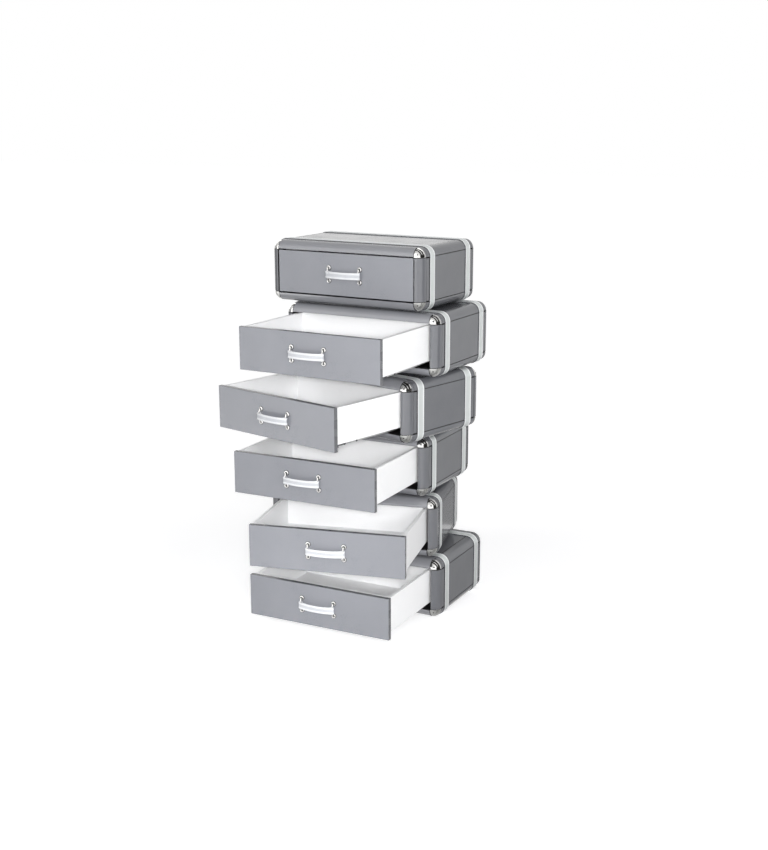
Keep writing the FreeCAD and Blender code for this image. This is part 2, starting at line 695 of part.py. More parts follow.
doc.recompute()
for item in doc.Objects:
    broken = [state for state in item.State if state in ("Invalid", "Error")]
    if broken:
        raise RuntimeError(f"{item.Label} failed: {broken}")
os.makedirs("parts", exist_ok=True)
for item in subparts:
    shape = item.Shape
    if shape.isNull() or not shape.isValid():
        raise RuntimeError(f"{item.Label} has no valid shape")
    shape.exportStep(f"parts/{item.Label}.step")
    print(f"{item.Label}: {len(shape.Solids)} solids, {shape.Volume / 1000:.1f} cm3")
whole = Part.makeCompound([item.Shape for item in subparts]).BoundBox
print(f"box {whole.XLength:.1f} x {whole.YLength:.1f} x {whole.ZLength:.1f}, centre {whole.Center}")
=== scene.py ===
# %% [markdown]
# # A chest of six stacked trunk cases
# The construction comes first and is already packed: boards, corner caps, straps and runners as
# plain solids. This lesson dresses it. Every case is the same product, so each kind of piece is
# modelled once, as if its case stood alone at the world's centre, and then set down six times.

# %% Load the construction
import json
import math

import bmesh
import bpy
from mathutils import Matrix, Vector


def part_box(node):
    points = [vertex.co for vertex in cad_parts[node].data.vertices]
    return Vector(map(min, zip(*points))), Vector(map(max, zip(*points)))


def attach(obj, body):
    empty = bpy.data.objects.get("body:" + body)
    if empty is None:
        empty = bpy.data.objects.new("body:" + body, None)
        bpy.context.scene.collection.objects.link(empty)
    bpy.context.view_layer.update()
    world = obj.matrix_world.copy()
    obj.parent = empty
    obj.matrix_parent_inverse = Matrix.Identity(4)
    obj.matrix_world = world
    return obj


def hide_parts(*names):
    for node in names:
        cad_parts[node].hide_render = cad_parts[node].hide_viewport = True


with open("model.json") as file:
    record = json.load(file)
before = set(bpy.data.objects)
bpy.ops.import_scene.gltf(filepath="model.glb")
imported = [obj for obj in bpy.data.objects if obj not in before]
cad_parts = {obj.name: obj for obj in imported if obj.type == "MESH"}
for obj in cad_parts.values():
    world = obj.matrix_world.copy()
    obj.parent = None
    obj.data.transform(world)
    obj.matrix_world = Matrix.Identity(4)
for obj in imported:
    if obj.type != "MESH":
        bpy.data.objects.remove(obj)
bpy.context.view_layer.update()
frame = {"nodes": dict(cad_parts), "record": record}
joints = {joint["name"]: joint for joint in frame["record"]["behaviour"]["joints"]}
CASES = range(1, 7)

# %% [markdown]
# ## Sizes
# A workshop drawing lists the sizes before anything is cut. The large ones are read from the
# bottom case, which stands square to the axes. The small ones are plain numbers in metres.

# %% Sizes of a case
MM = 0.001
cap_low, cap_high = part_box("case_6_corner_caps")
WIDTH, DEPTH, HEIGHT = cap_high - cap_low
EDGE = 35 * MM  # radius of the rounded long edges and of the ball corners
PANEL = 16 * MM
BACK_PANEL = 12 * MM
FRAME_DEPTH = 57 * MM  # from the face of the case to the end of a flange
CAP_LIP = 5 * MM  # the collar of a corner reaches this far past its ball
half_w, half_d, half_h = WIDTH / 2, DEPTH / 2, HEIGHT / 2
corner_x, corner_y, corner_z = half_w - EDGE, half_d - EDGE, half_h - EDGE
frame_end = half_d - FRAME_DEPTH


def in_mm(*values):
    return [round(value / MM, 1) for value in values]


print("case", in_mm(WIDTH, DEPTH, HEIGHT), "mm")

# %% Sizes of a drawer
front_low, front_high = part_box("drawer_6_front")
FRONT_THICK = front_high.y - front_low.y
FRONT_GAP = corner_x - (front_high.x - front_low.x) / 2
box_low, box_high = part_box("drawer_6_box")
BOX_SIDE = 15 * MM
box_half = (box_high.x - box_low.x) / 2
box_depth = box_high.y - box_low.y
front_back = -half_d + FRONT_THICK
case_6_middle = (cap_low + cap_high) / 2
box_bottom, box_top = box_low.z - case_6_middle.z, box_high.z - case_6_middle.z
FLOOR_RECESS, FLOOR_THICK = 13 * MM, 6 * MM
RUNNER_HIGH = 24.5 * MM
print("front and its gap", in_mm(FRONT_THICK, FRONT_GAP), "box", in_mm(box_half * 2, box_depth))

# %% [markdown]
# ## Where the six cases stand
# The corner caps are the same on all sides, so the middle of their box is the middle of the case.
# The drawer slides along the case's depth, so the direction of that joint gives the case's turn.

# %% Frames for cases and drawers
def case_frame(n):
    low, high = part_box(f"case_{n}_corner_caps")
    out = joints[f"drawer_{n}_slide"]["axis"]
    turn = Matrix.Rotation(math.atan2(out[0], -out[1]), 4, "Z")
    return Matrix.Translation((low + high) / 2) @ turn


def drawer_frame(n):
    low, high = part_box(f"drawer_{n}_front")
    here = case_frame(n)
    middle = here.inverted() @ ((low + high) / 2)
    return here @ Matrix.Translation((0, middle.y + half_d - FRONT_THICK / 2, 0))


for n in CASES:
    slid = (case_frame(n).inverted() @ drawer_frame(n)).translation.y
    print("case", n, "drawer out by", in_mm(-slid), "mm")

# %% [markdown]
# ## The maker's bench
# These helpers do by name what the hand does in edit mode: put a board down, pick some edges by
# where they lie, round them, mirror the piece. Each operator acts on the whole selection, so the
# selection is emptied before every move.

# %% Putting things down and picking them up
def take_up(*pieces):
    """Leave exactly these pieces selected, in object mode."""
    if bpy.context.object and bpy.context.object.mode != "OBJECT":
        bpy.ops.object.mode_set(mode="OBJECT")
    bpy.ops.object.select_all(action="DESELECT")
    for piece in pieces:
        piece.select_set(True)
    if pieces:
        bpy.context.view_layer.objects.active = pieces[0]


def named(name):
    """Name the new primitive and bake its place into its mesh."""
    piece = bpy.context.object
    piece.name = piece.data.name = name
    bpy.ops.object.transform_apply(location=True, rotation=True, scale=True)
    return piece


def board(name, low, high):
    """A squared board between two opposite corners."""
    take_up()
    low, high = Vector(low), Vector(high)
    bpy.ops.mesh.primitive_cube_add(size=1, location=(low + high) / 2, scale=high - low)
    return named(name)


def bar(name, radius, start, end, sides):
    """A round bar from one point to another."""
    take_up()
    start, end = Vector(start), Vector(end)
    turn = (end - start).to_track_quat("Z", "Y").to_euler()
    bpy.ops.mesh.primitive_cylinder_add(vertices=sides, radius=radius, depth=(end - start).length,
                                        location=(start + end) / 2, rotation=turn)
    return named(name)


# %% Picking edges, faces and points by where they lie
def pick(piece, kind, test):
    """Go into edit mode with only those elements selected for which the test holds."""
    take_up(piece)
    bpy.ops.object.mode_set(mode="EDIT")
    bpy.ops.mesh.select_mode(type=kind)
    bpy.ops.mesh.select_all(action="DESELECT")
    mesh = bmesh.from_edit_mesh(piece.data)
    for item in {"VERT": mesh.verts, "EDGE": mesh.edges, "FACE": mesh.faces}[kind]:
        if test(item):
            item.select_set(True)
    if kind != "FACE":  # what lies wholly between picked points or edges is picked too
        mesh.select_flush(True)
    bmesh.update_edit_mesh(piece.data)


def middle_of(item):
    points = [v.co for v in item.verts]
    return sum(points, Vector()) / len(points)


def runs_along(edge, axis):
    run = edge.verts[1].co - edge.verts[0].co
    return abs(run[axis]) > 0.99 * run.length


def near(value, wanted):
    return abs(value - wanted) < 1e-5


def done():
    bpy.ops.object.mode_set(mode="OBJECT")


# %% Rounding, mirroring, joining
def round_over(piece, radius, segments, test):
    """Round chosen edges, as a router does."""
    pick(piece, "EDGE", test)
    bpy.ops.mesh.bevel(offset=radius, offset_type="OFFSET", segments=segments, profile=0.5,
                       affect="EDGES")
    done()


def apply_modifier(piece, kind, **settings):
    take_up(piece)
    modifier = piece.modifiers.new(kind.title(), kind)
    for key, value in settings.items():
        setattr(modifier, key, value)
    bpy.ops.object.modifier_apply(modifier=modifier.name)
    return piece


def mirror(piece, *axes):
    """Add the mirror images in the case's middle planes."""
    apply_modifier(piece, "MIRROR", use_axis=[axis in axes for axis in "XYZ"],
                   use_mirror_merge=False)
    return faces_out(piece)


def faces_out(piece):
    """Merge what coincides and turn every face outwards."""
    pick(piece, "VERT", lambda v: True)
    bpy.ops.mesh.remove_doubles(threshold=1e-6)
    bpy.ops.mesh.normals_make_consistent(inside=False)
    done()
    return piece


def join(name, *pieces):
    take_up(*pieces)
    bpy.ops.object.join()
    piece = bpy.context.object
    piece.name = piece.data.name = name
    return piece


def smooth(piece, degrees):
    """Shade the piece smooth, apart from edges that are sharper than this angle."""
    take_up(piece)
    bpy.ops.object.shade_smooth_by_angle(angle=math.radians(degrees))


def ease(piece, width, degrees=40):
    """Break every sharp edge a little and shade the piece smooth between its edges."""
    apply_modifier(piece, "BEVEL", width=width, segments=2, limit_method="ANGLE",
                   angle_limit=math.radians(30), use_clamp_overlap=True)
    smooth(piece, degrees)
    apply_modifier(piece, "WEIGHTED_NORMAL", keep_sharp=True, weight=80)
    return piece


# %% [markdown]
# ## Writing materials as sums
# A material is a graph of small nodes, and a graph is slow to write node by node. One class wraps
# a socket, so that a line such as `0.2 + 0.1 * cloud` adds the Math nodes by itself. Colours can't
# go through Math nodes, which would turn them grey, so they go through the colour mixer.

# %% A socket that can be added and multiplied
class Wire:
    def __init__(self, tree, socket=None):
        self.tree, self.socket = tree, socket

    def node(self, kind, settings, inputs, output=0):
        """Any node: its settings first, then the values or links of its sockets."""
        node = self.tree.nodes.new(kind)
        for key, value in settings.items():
            setattr(node, key, value)
        for key, value in inputs.items():
            if isinstance(value, Wire):
                self.tree.links.new(value.socket, node.inputs[key])
            else:
                node.inputs[key].default_value = value
        return Wire(self.tree, node.outputs[output])

    def maths(self, operation, *values, clamp=False):
        inputs = dict(enumerate((self,) + values))
        return self.node("ShaderNodeMath", {"operation": operation, "use_clamp": clamp}, inputs)

    def vector(self, operation, *values, output=0):
        inputs = dict(enumerate((self,) + values))
        return self.node("ShaderNodeVectorMath", {"operation": operation}, inputs, output)

    def __add__(self, other):
        return self.maths("ADD", other)

    def __sub__(self, other):
        return self.maths("SUBTRACT", other)

    def __mul__(self, other):
        return self.maths("MULTIPLY", other)

    __radd__, __rmul__ = __add__, __mul__

    def __rsub__(self, other):
        return self.maths("MULTIPLY_ADD", -1.0, other)

    def length(self):
        return self.vector("LENGTH", output=1)

    def step(self, start, end):
        """0 below start and 1 above end, with a soft passage between them."""
        return self.node("ShaderNodeMapRange", {"interpolation_type": "SMOOTHSTEP"},
                         {0: self, 1: start, 2: end, 3: 0.0, 4: 1.0})

    def part(self, axis):
        return self.node("ShaderNodeSeparateXYZ", {}, {0: self}, axis)

    def noise(self, scale, detail, stretch=None):
        """Cloudy noise between 0 and 1, stretched along an axis where a finish has a direction."""
        where = self.vector("MULTIPLY", stretch) if stretch else self
        return self.node("ShaderNodeTexNoise", {},
                         {"Vector": where, "Scale": scale, "Detail": detail})

    def tint(self, low, high):
        """A colour between two colours, with this value as the share of the second."""
        return self.node("ShaderNodeMix", {"data_type": "RGBA"},
                         {0: self, 6: (*low, 1.0), 7: (*high, 1.0)}, 2)


# %% A new finish
def finish_coat(name, constants):
    """A material with its constant values set on the shader's own sockets."""
    material = bpy.data.materials.new(name)
    material.use_nodes = True
    shader = material.node_tree.nodes["Principled BSDF"]
    for key, value in constants.items():
        shader.inputs[key].default_value = value
    return material, shader, Wire(material.node_tree)


def wired(shader, **links):
    """Plug finished sums into the shader, by socket name with underscores for spaces."""
    for key, value in links.items():
        value.tree.links.new(value.socket, shader.inputs[key.replace("_", " ")])


def made_at(start):
    """Where on the piece a point lies, as it was modelled: the same on all six copies."""
    return start.node("ShaderNodeAttribute", {"attribute_name": "made_at"}, {}, 1)


def bumped(start, height, distance):
    return start.node("ShaderNodeBump", {},
                      {"Height": height, "Distance": distance, "Strength": 1.0})


# %% [markdown]
# ## Lacquer
# The cases and fronts are sprayed with grey lacquer and polished. Real sprayed gloss is never a
# mirror: it has a faint orange-peel ripple, clouds of slightly different shine where the polisher
# leaned, and edges where the colour coat is a little thinner. A plain colour with a low roughness
# would look like plastic, so the ripple goes into the bump and the clouds into the roughness. The
# same recipe gives four coats: the case; its rails, painted paler than the case as painted light;
# the duller fronts; and the darker grey on their edges, which is painted shade.

# %% Four coats of grey lacquer
def lacquer(name, deep, light, shine, gloss=0.5):
    material, shader, start = finish_coat(name, {
        "IOR": 1.5, "Specular IOR Level": gloss,
        "Coat Weight": 0.5 * gloss, "Coat Roughness": 0.04})
    place = made_at(start)
    cloud = place.noise(7.0, 4.0)
    grain = place.noise(260.0, 2.0)
    tone = (0.75 * cloud + 0.25 * grain).step(0.3, 0.7)
    colour = tone.tint(deep, light)
    rough = shine + 0.10 * cloud.step(0.35, 0.75) + 0.03 * grain
    ripple = place.noise(95.0, 1.0)
    wired(shader, Base_Color=colour, Roughness=rough, Normal=bumped(start, ripple, 0.12 * MM))
    return material


case_lacquer = lacquer("case_lacquer", (0.110, 0.113, 0.125), (0.124, 0.127, 0.139), 0.12)
# The rails' coat is paler than the case's: painted light, for the rails are lacquered like the
# case.
rail_lacquer_painted_light = lacquer("rail_lacquer_painted_light", (0.210, 0.214, 0.231), (0.226, 0.230, 0.248), 0.12)
front_lacquer = lacquer("front_lacquer", (0.228, 0.234, 0.256), (0.243, 0.249, 0.272), 0.26, 0.2)
# The edge coat is darker: painted shade on the edges of the fronts and the sides of the straps.
edge_shade_lacquer = lacquer("front_edge_shade_lacquer", (0.095, 0.098, 0.107), (0.108, 0.111, 0.120), 0.22)
print("lacquers", case_lacquer.name, rail_lacquer_painted_light.name, front_lacquer.name, edge_shade_lacquer.name)

# %% [markdown]
# ## White drawer boxes and the dark inside of the cases
# The boxes are birch boards under white satin lacquer. The lacquer hides the wood's colour, but
# its grain still shows as long shallow ripples. The insides of the cases are stained black, which
# is cheap and hides the runners. The same black is also painted shade: it darkens the inside of the
# cases, the holes of the rivets and the hollows of the rosettes, and a washer draws the shadow
# round each rosette.

# %% White satin and black stain
def satin_board(name, deep, light, shine, ripple_depth):
    material, shader, start = finish_coat(name, {"IOR": 1.47, "Specular IOR Level": 0.3})
    place = made_at(start)
    fibre = place.noise(38.0, 4.0, (1.0, 1.0, 14.0))
    cloud = place.noise(5.0, 3.0)
    colour = (0.6 * fibre + 0.4 * cloud).step(0.3, 0.7).tint(deep, light)
    wired(shader, Base_Color=colour, Roughness=shine + 0.12 * fibre,
          Normal=bumped(start, fibre, ripple_depth))
    return material


box_lacquer = satin_board("box_lacquer", (0.868, 0.871, 0.880), (0.895, 0.896, 0.903),
                          0.34, 0.08 * MM)
# Black stain that is also painted shade: inside the cases, in the rivets' holes, and in and round
# the rosettes.
black_stain_and_shade = satin_board("black_stain_and_shade", (0.012, 0.012, 0.013), (0.022, 0.021, 0.021),
                           0.6, 0.2 * MM)
print("boards", box_lacquer.name, black_stain_and_shade.name)

# %% [markdown]
# ## Metals
# The corners and handles are chromed, the straps are pale satin metal and the runners are zinc
# plated. Chrome on a thin stamping carries fine scratches and a warm film in smudges. On the upper
# corners the hollows and a spot of each dome are painted near black, as painted shade and a painted
# dark reflection, and the lower corners are painted a duller grey and made matt, as a painted dull
# reflection. Satin metal is brushed along its length. Zinc has a blotchy, slightly yellow bloom.
# The clips on the runners are black plastic, which takes the same recipe without the metal.

# %% Chrome
CHROME_BRIGHT, CHROME_FILM_AND_DULL = (0.66, 0.655, 0.645), (0.44, 0.44, 0.43)
# Painted shade: the near black of the upper corners' hollows and of their dark spot.
CHROME_PAINTED_SHADE = (0.035, 0.034, 0.032, 1.0)


def chrome(name, film, hollow=None, painted_dull=None):
    """Polished chrome, with painted shade, a painted dark reflection and a painted dull reflection
    where two masks ask for them.
    """
    material, shader, start = finish_coat(name, {"Metallic": 1.0})
    place = made_at(start)
    smear = place.noise(130.0, 4.0)
    scratch = place.noise(420.0, 2.0, (1.0, 6.0, 1.0))
    dark = hollow(place) if hollow else 0.0 * smear
    matt = painted_dull(place) if painted_dull else 0.0 * smear
    veil = (smear.step(0.45, 0.72) * film).maths("MAXIMUM", matt)
    bright = veil.tint(CHROME_BRIGHT, CHROME_FILM_AND_DULL)
    colour = dark.node("ShaderNodeMix", {"data_type": "RGBA"},
                       {0: dark, 6: bright, 7: CHROME_PAINTED_SHADE}, 2)
    rough = 0.07 + 0.10 * smear.step(0.4, 0.8) + 0.05 * scratch + 0.2 * dark + 0.40 * matt
    wired(shader, Base_Color=colour, Roughness=rough, Normal=bumped(start, scratch, 0.02 * MM))
    return material


# Where the painted dark reflection lies on each upper dome.
DARK_SPOT_WAY = Vector((0.76, 0.62, 0.16)).normalized()


def upper_cap_painted_shade(place):
    """Painted shade and a painted dark reflection on the upper corners: dark below the ball's round
    surface, darker the deeper the hollow, and dark in a spot on the dome.
    """
    offset = place.vector("ABSOLUTE").vector("SUBTRACT", (corner_x, corner_y, corner_z))
    deep = 1 - offset.length().step(0.89 * EDGE, 0.955 * EDGE)
    spot_offset = offset.vector("SUBTRACT", tuple(DARK_SPOT_WAY * EDGE))
    spot = 1 - spot_offset.length().step(0.16 * EDGE, 0.24 * EDGE)
    upper = place.part(2).step(-20 * MM, 20 * MM)
    return upper * deep.maths("MAXIMUM", spot)


def lower_corner(place):
    """The four lower corners are matt and painted a duller grey: a painted dull reflection."""
    return 1 - place.part(2).step(-corner_z - 4 * MM, -corner_z + 4 * MM)
    """The four lower corners are knocked and scuffed until they are matt."""
    return 1 - place.part(2).step(-corner_z - 0.004, -corner_z + 0.004)


# The upper corners take painted shade and a painted dark reflection, the lower ones a painted dull
# reflection.
corner_chrome = chrome("corner_chrome", 0.8, upper_cap_painted_shade, lower_corner)
handle_chrome = chrome("handle_chrome", 0.5)
print("chromes", corner_chrome.name, handle_chrome.name)

# %% Steel and plastic
def brushed(name, deep, light, shine, metallic, stretch, scale=70.0):
    material, shader, start = finish_coat(name, {"Metallic": metallic})
    place = made_at(start)
    line = place.noise(scale, 4.0, stretch)
    bloom = place.noise(22.0, 3.0)
    colour = (0.5 * line + 0.5 * bloom).step(0.3, 0.7).tint(deep, light)
    wired(shader, Base_Color=colour, Roughness=shine + 0.12 * bloom + 0.08 * line,
          Normal=bumped(start, line, 0.04 * MM))
    return material


STEEL = (0.36, 0.37, 0.37), (0.52, 0.53, 0.52)
PLASTIC = (0.018, 0.018, 0.019), (0.034, 0.034, 0.035)
EVEN = (1.0, 1.0, 1.0)
runner_steel = brushed("runner_steel", *STEEL, 0.28, 1.0, (1.0, 0.15, 1.0))
black_plastic = brushed("black_plastic", *PLASTIC, 0.42, 0.0, EVEN, 300.0)
print("runner finishes", runner_steel.name, black_plastic.name)

# %% Pale strap metal
STRAP_WIDE, STRAP_THICK, STRAP_CLEAR = 37.5 * MM, 3.3 * MM, 2.5 * MM
strap_middle = frame_end - STRAP_CLEAR - STRAP_WIDE / 2


def strap_finish():
    """Brushed pale metal whose rims are smoother than the hollow between them and painted brighter,
    as a painted highlight.
    """
    material, shader, start = finish_coat("strap_metal", {"Metallic": 0.55})
    place = made_at(start)
    line = place.noise(30.0, 3.0, (1.0, 40.0, 1.0))
    across = (place.part(1).maths("ABSOLUTE") - strap_middle).maths("ABSOLUTE")
    rim = across.step(11.5 * MM, 13.5 * MM)
    # The rims' brighter colour is a painted highlight; their lower roughness is their polish.
    colour = (0.7 * rim + 0.3 * line).tint((0.60, 0.63, 0.625), (0.84, 0.85, 0.86))
    wired(shader, Base_Color=colour, Roughness=0.40 - 0.14 * rim + 0.1 * line,
          Normal=bumped(start, line, 0.03 * MM))
    return material


strap_metal = strap_finish()
print("strap finish", strap_metal.name)

# %% [markdown]
# ## White leather and its thread
# Full-grain leather is a net of small cells with fine creases between them. Voronoi cells give
# the net, their distance gives the creases, and the finish is duller in the creases than on top.

# %% Leather and thread
def leather():
    material, shader, start = finish_coat("grip_leather", {"IOR": 1.48, "Specular IOR Level": 0.3})
    place = made_at(start)
    cells = place.node("ShaderNodeTexVoronoi", {"feature": "DISTANCE_TO_EDGE"},
                       {"Vector": place, "Scale": 900.0})
    crease = 1 - cells.step(0.0, 0.12)
    cloud = place.noise(45.0, 3.0)
    middle = 1 - place.part(2).maths("ABSOLUTE").step(4.5 * MM, 6.5 * MM)
    # The creases and the flat channel between the rims are painted darker: painted shade.
    shade = 0.55 * middle + 0.25 * crease + 0.2 * cloud
    colour = shade.tint((0.74, 0.75, 0.77), (0.42, 0.435, 0.47))
    height = cells.step(0.0, 0.2) + 0.4 * cloud
    wired(shader, Base_Color=colour, Roughness=0.42 + 0.2 * crease + 0.1 * cloud,
          Normal=bumped(start, height, 0.09 * MM))
    return material


def thread():
    material, shader, start = finish_coat("grip_thread", {"Roughness": 0.7})
    place = made_at(start)
    twist = place.node("ShaderNodeTexWave", {"bands_direction": "DIAGONAL"},
                       {"Vector": place, "Scale": 700.0, "Distortion": 1.0})
    wired(shader, Base_Color=twist.tint((0.56, 0.57, 0.58), (0.78, 0.78, 0.78)),
          Normal=bumped(start, twist, 0.12 * MM))
    return material


grip_leather, grip_thread = leather(), thread()
print("leather", grip_leather.name, grip_thread.name)

# %% [markdown]
# ## Setting a finished piece down six times
# A master piece remembers where each of its points was made, in an attribute that travels with
# the mesh. Copies then take the same pattern with them, wherever their case is turned. Each copy
# gets its own mesh, with its place in its points, and rides on the body it belongs to.

# %% Copies for all six cases
def remember(piece):
    spots = piece.data.attributes.new("made_at", "FLOAT_VECTOR", "POINT")
    flat = [value for vertex in piece.data.vertices for value in vertex.co]
    spots.data.foreach_set("vector", flat)


def paint(piece, *finishes):
    piece.data.materials.clear()
    for finish in finishes:
        piece.data.materials.append(finish)


def finish_by_side(piece, shown, hidden, test):
    """Two finishes on one piece: the second goes on each face for which the test holds."""
    paint(piece, shown, hidden)
    for face in piece.data.polygons:
        face.material_index = 1 if test(face) else 0
    return piece


def set_down(master, place, body, replaced=()):
    """One copy of the master per case, then the master itself is put away."""
    remember(master)
    kind = master.name
    master.name = kind + "_master"
    for n in CASES:
        piece = bpy.data.objects.new(f"{kind}_{n}", master.data.copy())
        bpy.context.scene.collection.objects.link(piece)
        piece.data.transform(place(n))
        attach(piece, body.format(n))
        for node in replaced:
            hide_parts(node.format(n))
    sides = sum(len(face.vertices) - 2 for face in master.data.polygons)
    bpy.data.objects.remove(master)
    print(kind, "has", sides, "triangles")


# %% [markdown]
# ## Rails, stiles and edge mouldings
# Every long edge of a trunk case is a quarter-round moulding. A joiner would plane it from a
# square batten, and so do we: a board with one long edge rounded over by its full thickness. Rails
# and stiles have a flat flange behind the moulding. A hair's breadth is left between neighbours,
# so that the joints read as fine dark lines.

# %% Rails
SEAM = 0.5 * MM  # between pieces that lie flat beside each other
JOINT = 2.6 * MM  # between a front moulding and its corner
REVEAL = 2.5 * MM  # round the opening for the drawer
ROUND = EDGE - 0.2 * MM
SHARP_BREAK = 0.5 * MM


def moulding(name, low, high, axis, test):
    """A batten whose chosen edge, which runs along the axis, is rounded by its full thickness."""
    piece = board(name, low, high)
    round_over(piece, ROUND, 14, lambda e: runs_along(e, axis) and test(middle_of(e)))
    return ease(piece, 0.9 * MM)


def on_carcass(piece):
    """Woodwork of the case, one copy on each of the six."""
    set_down(piece, case_frame, "root", ["case_{}_carcass"])


rail = moulding("rail", (-corner_x + JOINT, -half_d, corner_z + REVEAL),
                (corner_x - JOINT, -corner_y, half_h), 0,
                lambda p: near(p.y, -half_d) and near(p.z, half_h))
rail_flange = board("flange", (-corner_x + SEAM, -corner_y + 0.1 * MM, half_h - PANEL),
                    (corner_x - SEAM, -frame_end - SEAM, half_h))
rail = join("case_rails", rail, ease(rail_flange, SHARP_BREAK))
# The rails take the paler coat: painted light.
finish_by_side(rail, rail_lacquer_painted_light, black_stain_and_shade,
               lambda f: f.normal.z < -0.8 or f.normal.y > 0.5 or abs(f.normal.x) > 0.5)
on_carcass(mirror(rail, "Y", "Z"))

# %% Stiles
stile = moulding("stile", (corner_x + REVEAL, -half_d, -corner_z + JOINT),
                 (half_w, -corner_y, corner_z - JOINT), 2,
                 lambda p: near(p.y, -half_d) and near(p.x, half_w))
stile_flange = board("flange", (half_w - PANEL, -corner_y + REVEAL, -corner_z + JOINT + REVEAL),
                     (half_w, -frame_end - SEAM, corner_z - JOINT - REVEAL))
stile = join("case_stiles", stile, ease(stile_flange, SHARP_BREAK))
finish_by_side(stile, case_lacquer, black_stain_and_shade,
               lambda f: f.normal.x < -0.8 or f.normal.y > 0.5 or abs(f.normal.z) > 0.5)
on_carcass(mirror(stile, "X", "Y"))

# %% Edge mouldings
edge_end = corner_y - CAP_LIP - SEAM
edges = moulding("case_edges", (corner_x + SEAM, -edge_end, corner_z + SEAM),
                 (half_w, edge_end, half_h), 1,
                 lambda p: near(p.x, half_w) and near(p.z, half_h))
finish_by_side(edges, case_lacquer, black_stain_and_shade,
               lambda f: f.normal.x < -0.3 or f.normal.z < -0.3 or abs(f.normal.y) > 0.3)
on_carcass(mirror(edges, "X", "Z"))

# %% [markdown]
# ## Panels
# Flat panels close the case between its mouldings. Their edges are chamfered, so each joint is a
# small V-groove, stained black so that it draws a dark line round the panel. Outside the panels are
# lacquered, inside they are stained black too.

# %% Panels, lacquered outside and black inside
GROOVE = 2.0 * MM


def panel(name, low, high, outward):
    """Lacquer on the outside only: the chamfers and all that looks inwards are stained black."""
    piece = ease(board(name, low, high), GROOVE)
    way = Vector(outward)
    return finish_by_side(piece, case_lacquer, black_stain_and_shade, lambda f: f.normal.dot(way) < 0.97)


side = panel("side", (half_w - PANEL, -frame_end + SEAM, -corner_z + SEAM),
             (half_w, frame_end - SEAM, corner_z - SEAM), (1, 0, 0))
side = mirror(side, "X")
top = panel("top", (-corner_x + SEAM, -frame_end + SEAM, half_h - PANEL),
            (corner_x - SEAM, frame_end - SEAM, half_h), (0, 0, 1))
top = mirror(top, "Z")
back = panel("back", (-corner_x + SEAM, half_d - BACK_PANEL, -corner_z + SEAM),
             (corner_x - SEAM, half_d, corner_z - SEAM), (0, 1, 0))
on_carcass(join("case_panels", side, top, back))

# %% [markdown]
# ## Hidden wood
# A batten on each side carries the cabinet runners, and a block behind each corner ties the
# mouldings together. Both are plain squared boards under black stain, so nothing more is done to
# them than breaking their edges.

# %% Battens for the runners and blocks in the corners
BLOCK = 18 * MM
SHEET, RUNNER_FIT, RUNNER_GAP = 1.5 * MM, 0.3 * MM, 2 * MM  # the steel and the play of a runner
BATTEN_HIGH = 30 * MM
floor_under = box_bottom + FLOOR_RECESS
plate_under = floor_under - RUNNER_HIGH - (RUNNER_GAP + RUNNER_FIT + SHEET)
batten = board("batten", (corner_x, -frame_end, plate_under),
               (half_w - PANEL, frame_end, plate_under + BATTEN_HIGH))
block = board("block", (corner_x, -corner_y - BLOCK, corner_z),
              (corner_x + BLOCK, -corner_y + CAP_LIP, corner_z + BLOCK))
frame_wood = join("case_inner_wood", mirror(batten, "X"), mirror(block, "X", "Y", "Z"))
paint(ease(frame_wood, 0.8 * MM), black_stain_and_shade)
on_carcass(frame_wood)

# %% [markdown]
# ## Chrome ball corners
# A trunk's ball corner is stamped from thin steel: a dome at the tip, a rolled hollow behind it
# and a plain collar that grips the long edge. All three have the same axis, so the whole corner is
# one profile spun through a quarter turn. The profile is cut out of a circle by deleting what
# isn't needed, and its hollow is pressed in. The spun skin has its faces turned outwards, and only
# then gets the thickness of the sheet, which grows inwards from it.

# %% A profile, spun
PRESSED = [(80.5, 83.0, 0.97), (61.5, 71.0, 0.87),
           (54.5, 61.5, 0.955), (46.5, 54.5, 0.86)]  # from and to, in degrees; share of the radius
ball_centre = Vector((corner_x, -corner_y, corner_z))


def ball_corner(centre):
    take_up()
    bpy.ops.mesh.primitive_circle_add(vertices=144, radius=EDGE - 0.1 * MM, location=centre,
                                      rotation=(0, math.radians(90), 0))
    piece = named("corner_caps")
    pick(piece, "VERT", lambda v: v.co.y > centre.y + 1e-5 or v.co.z < centre.z - 1e-5)
    bpy.ops.mesh.delete(type="VERT")
    done()
    for first, last, share in PRESSED:
        pick(piece, "VERT", lambda v: first < math.degrees(
            math.atan2(v.co.z - centre.z, centre.y - v.co.y)) < last)
        bpy.ops.transform.resize(value=(share,) * 3, center_override=centre)
        done()
    pick(piece, "VERT", lambda v: near(v.co.y, centre.y))
    bpy.ops.mesh.extrude_region_move(TRANSFORM_OT_translate={"value": (0, CAP_LIP, 0)})
    done()
    pick(piece, "EDGE", lambda e: True)
    bpy.ops.mesh.spin(steps=24, angle=math.radians(-90), center=centre, axis=(0, 1, 0))
    done()
    return faces_out(piece)


caps = ball_corner(ball_centre)
reach = [max((v.co - ball_centre)[i] for v in caps.data.vertices) for i in range(3)]
print("corner reaches", in_mm(*reach), "mm from the ball's centre")

# %% The thickness of the sheet
CAP_SHEET = 1.2 * MM
COLLAR_AT = math.radians(82)
apply_modifier(caps, "SOLIDIFY", thickness=CAP_SHEET, offset=-1.0, use_even_offset=True)
ease(caps, 0.3 * MM, 50)
collar = ball_centre.y - EDGE * math.cos(COLLAR_AT)
finish_by_side(caps, corner_chrome, case_lacquer, lambda f: f.center.y > collar)
print("the collar starts", *in_mm(ball_centre.y - collar), "mm before the ball's centre")

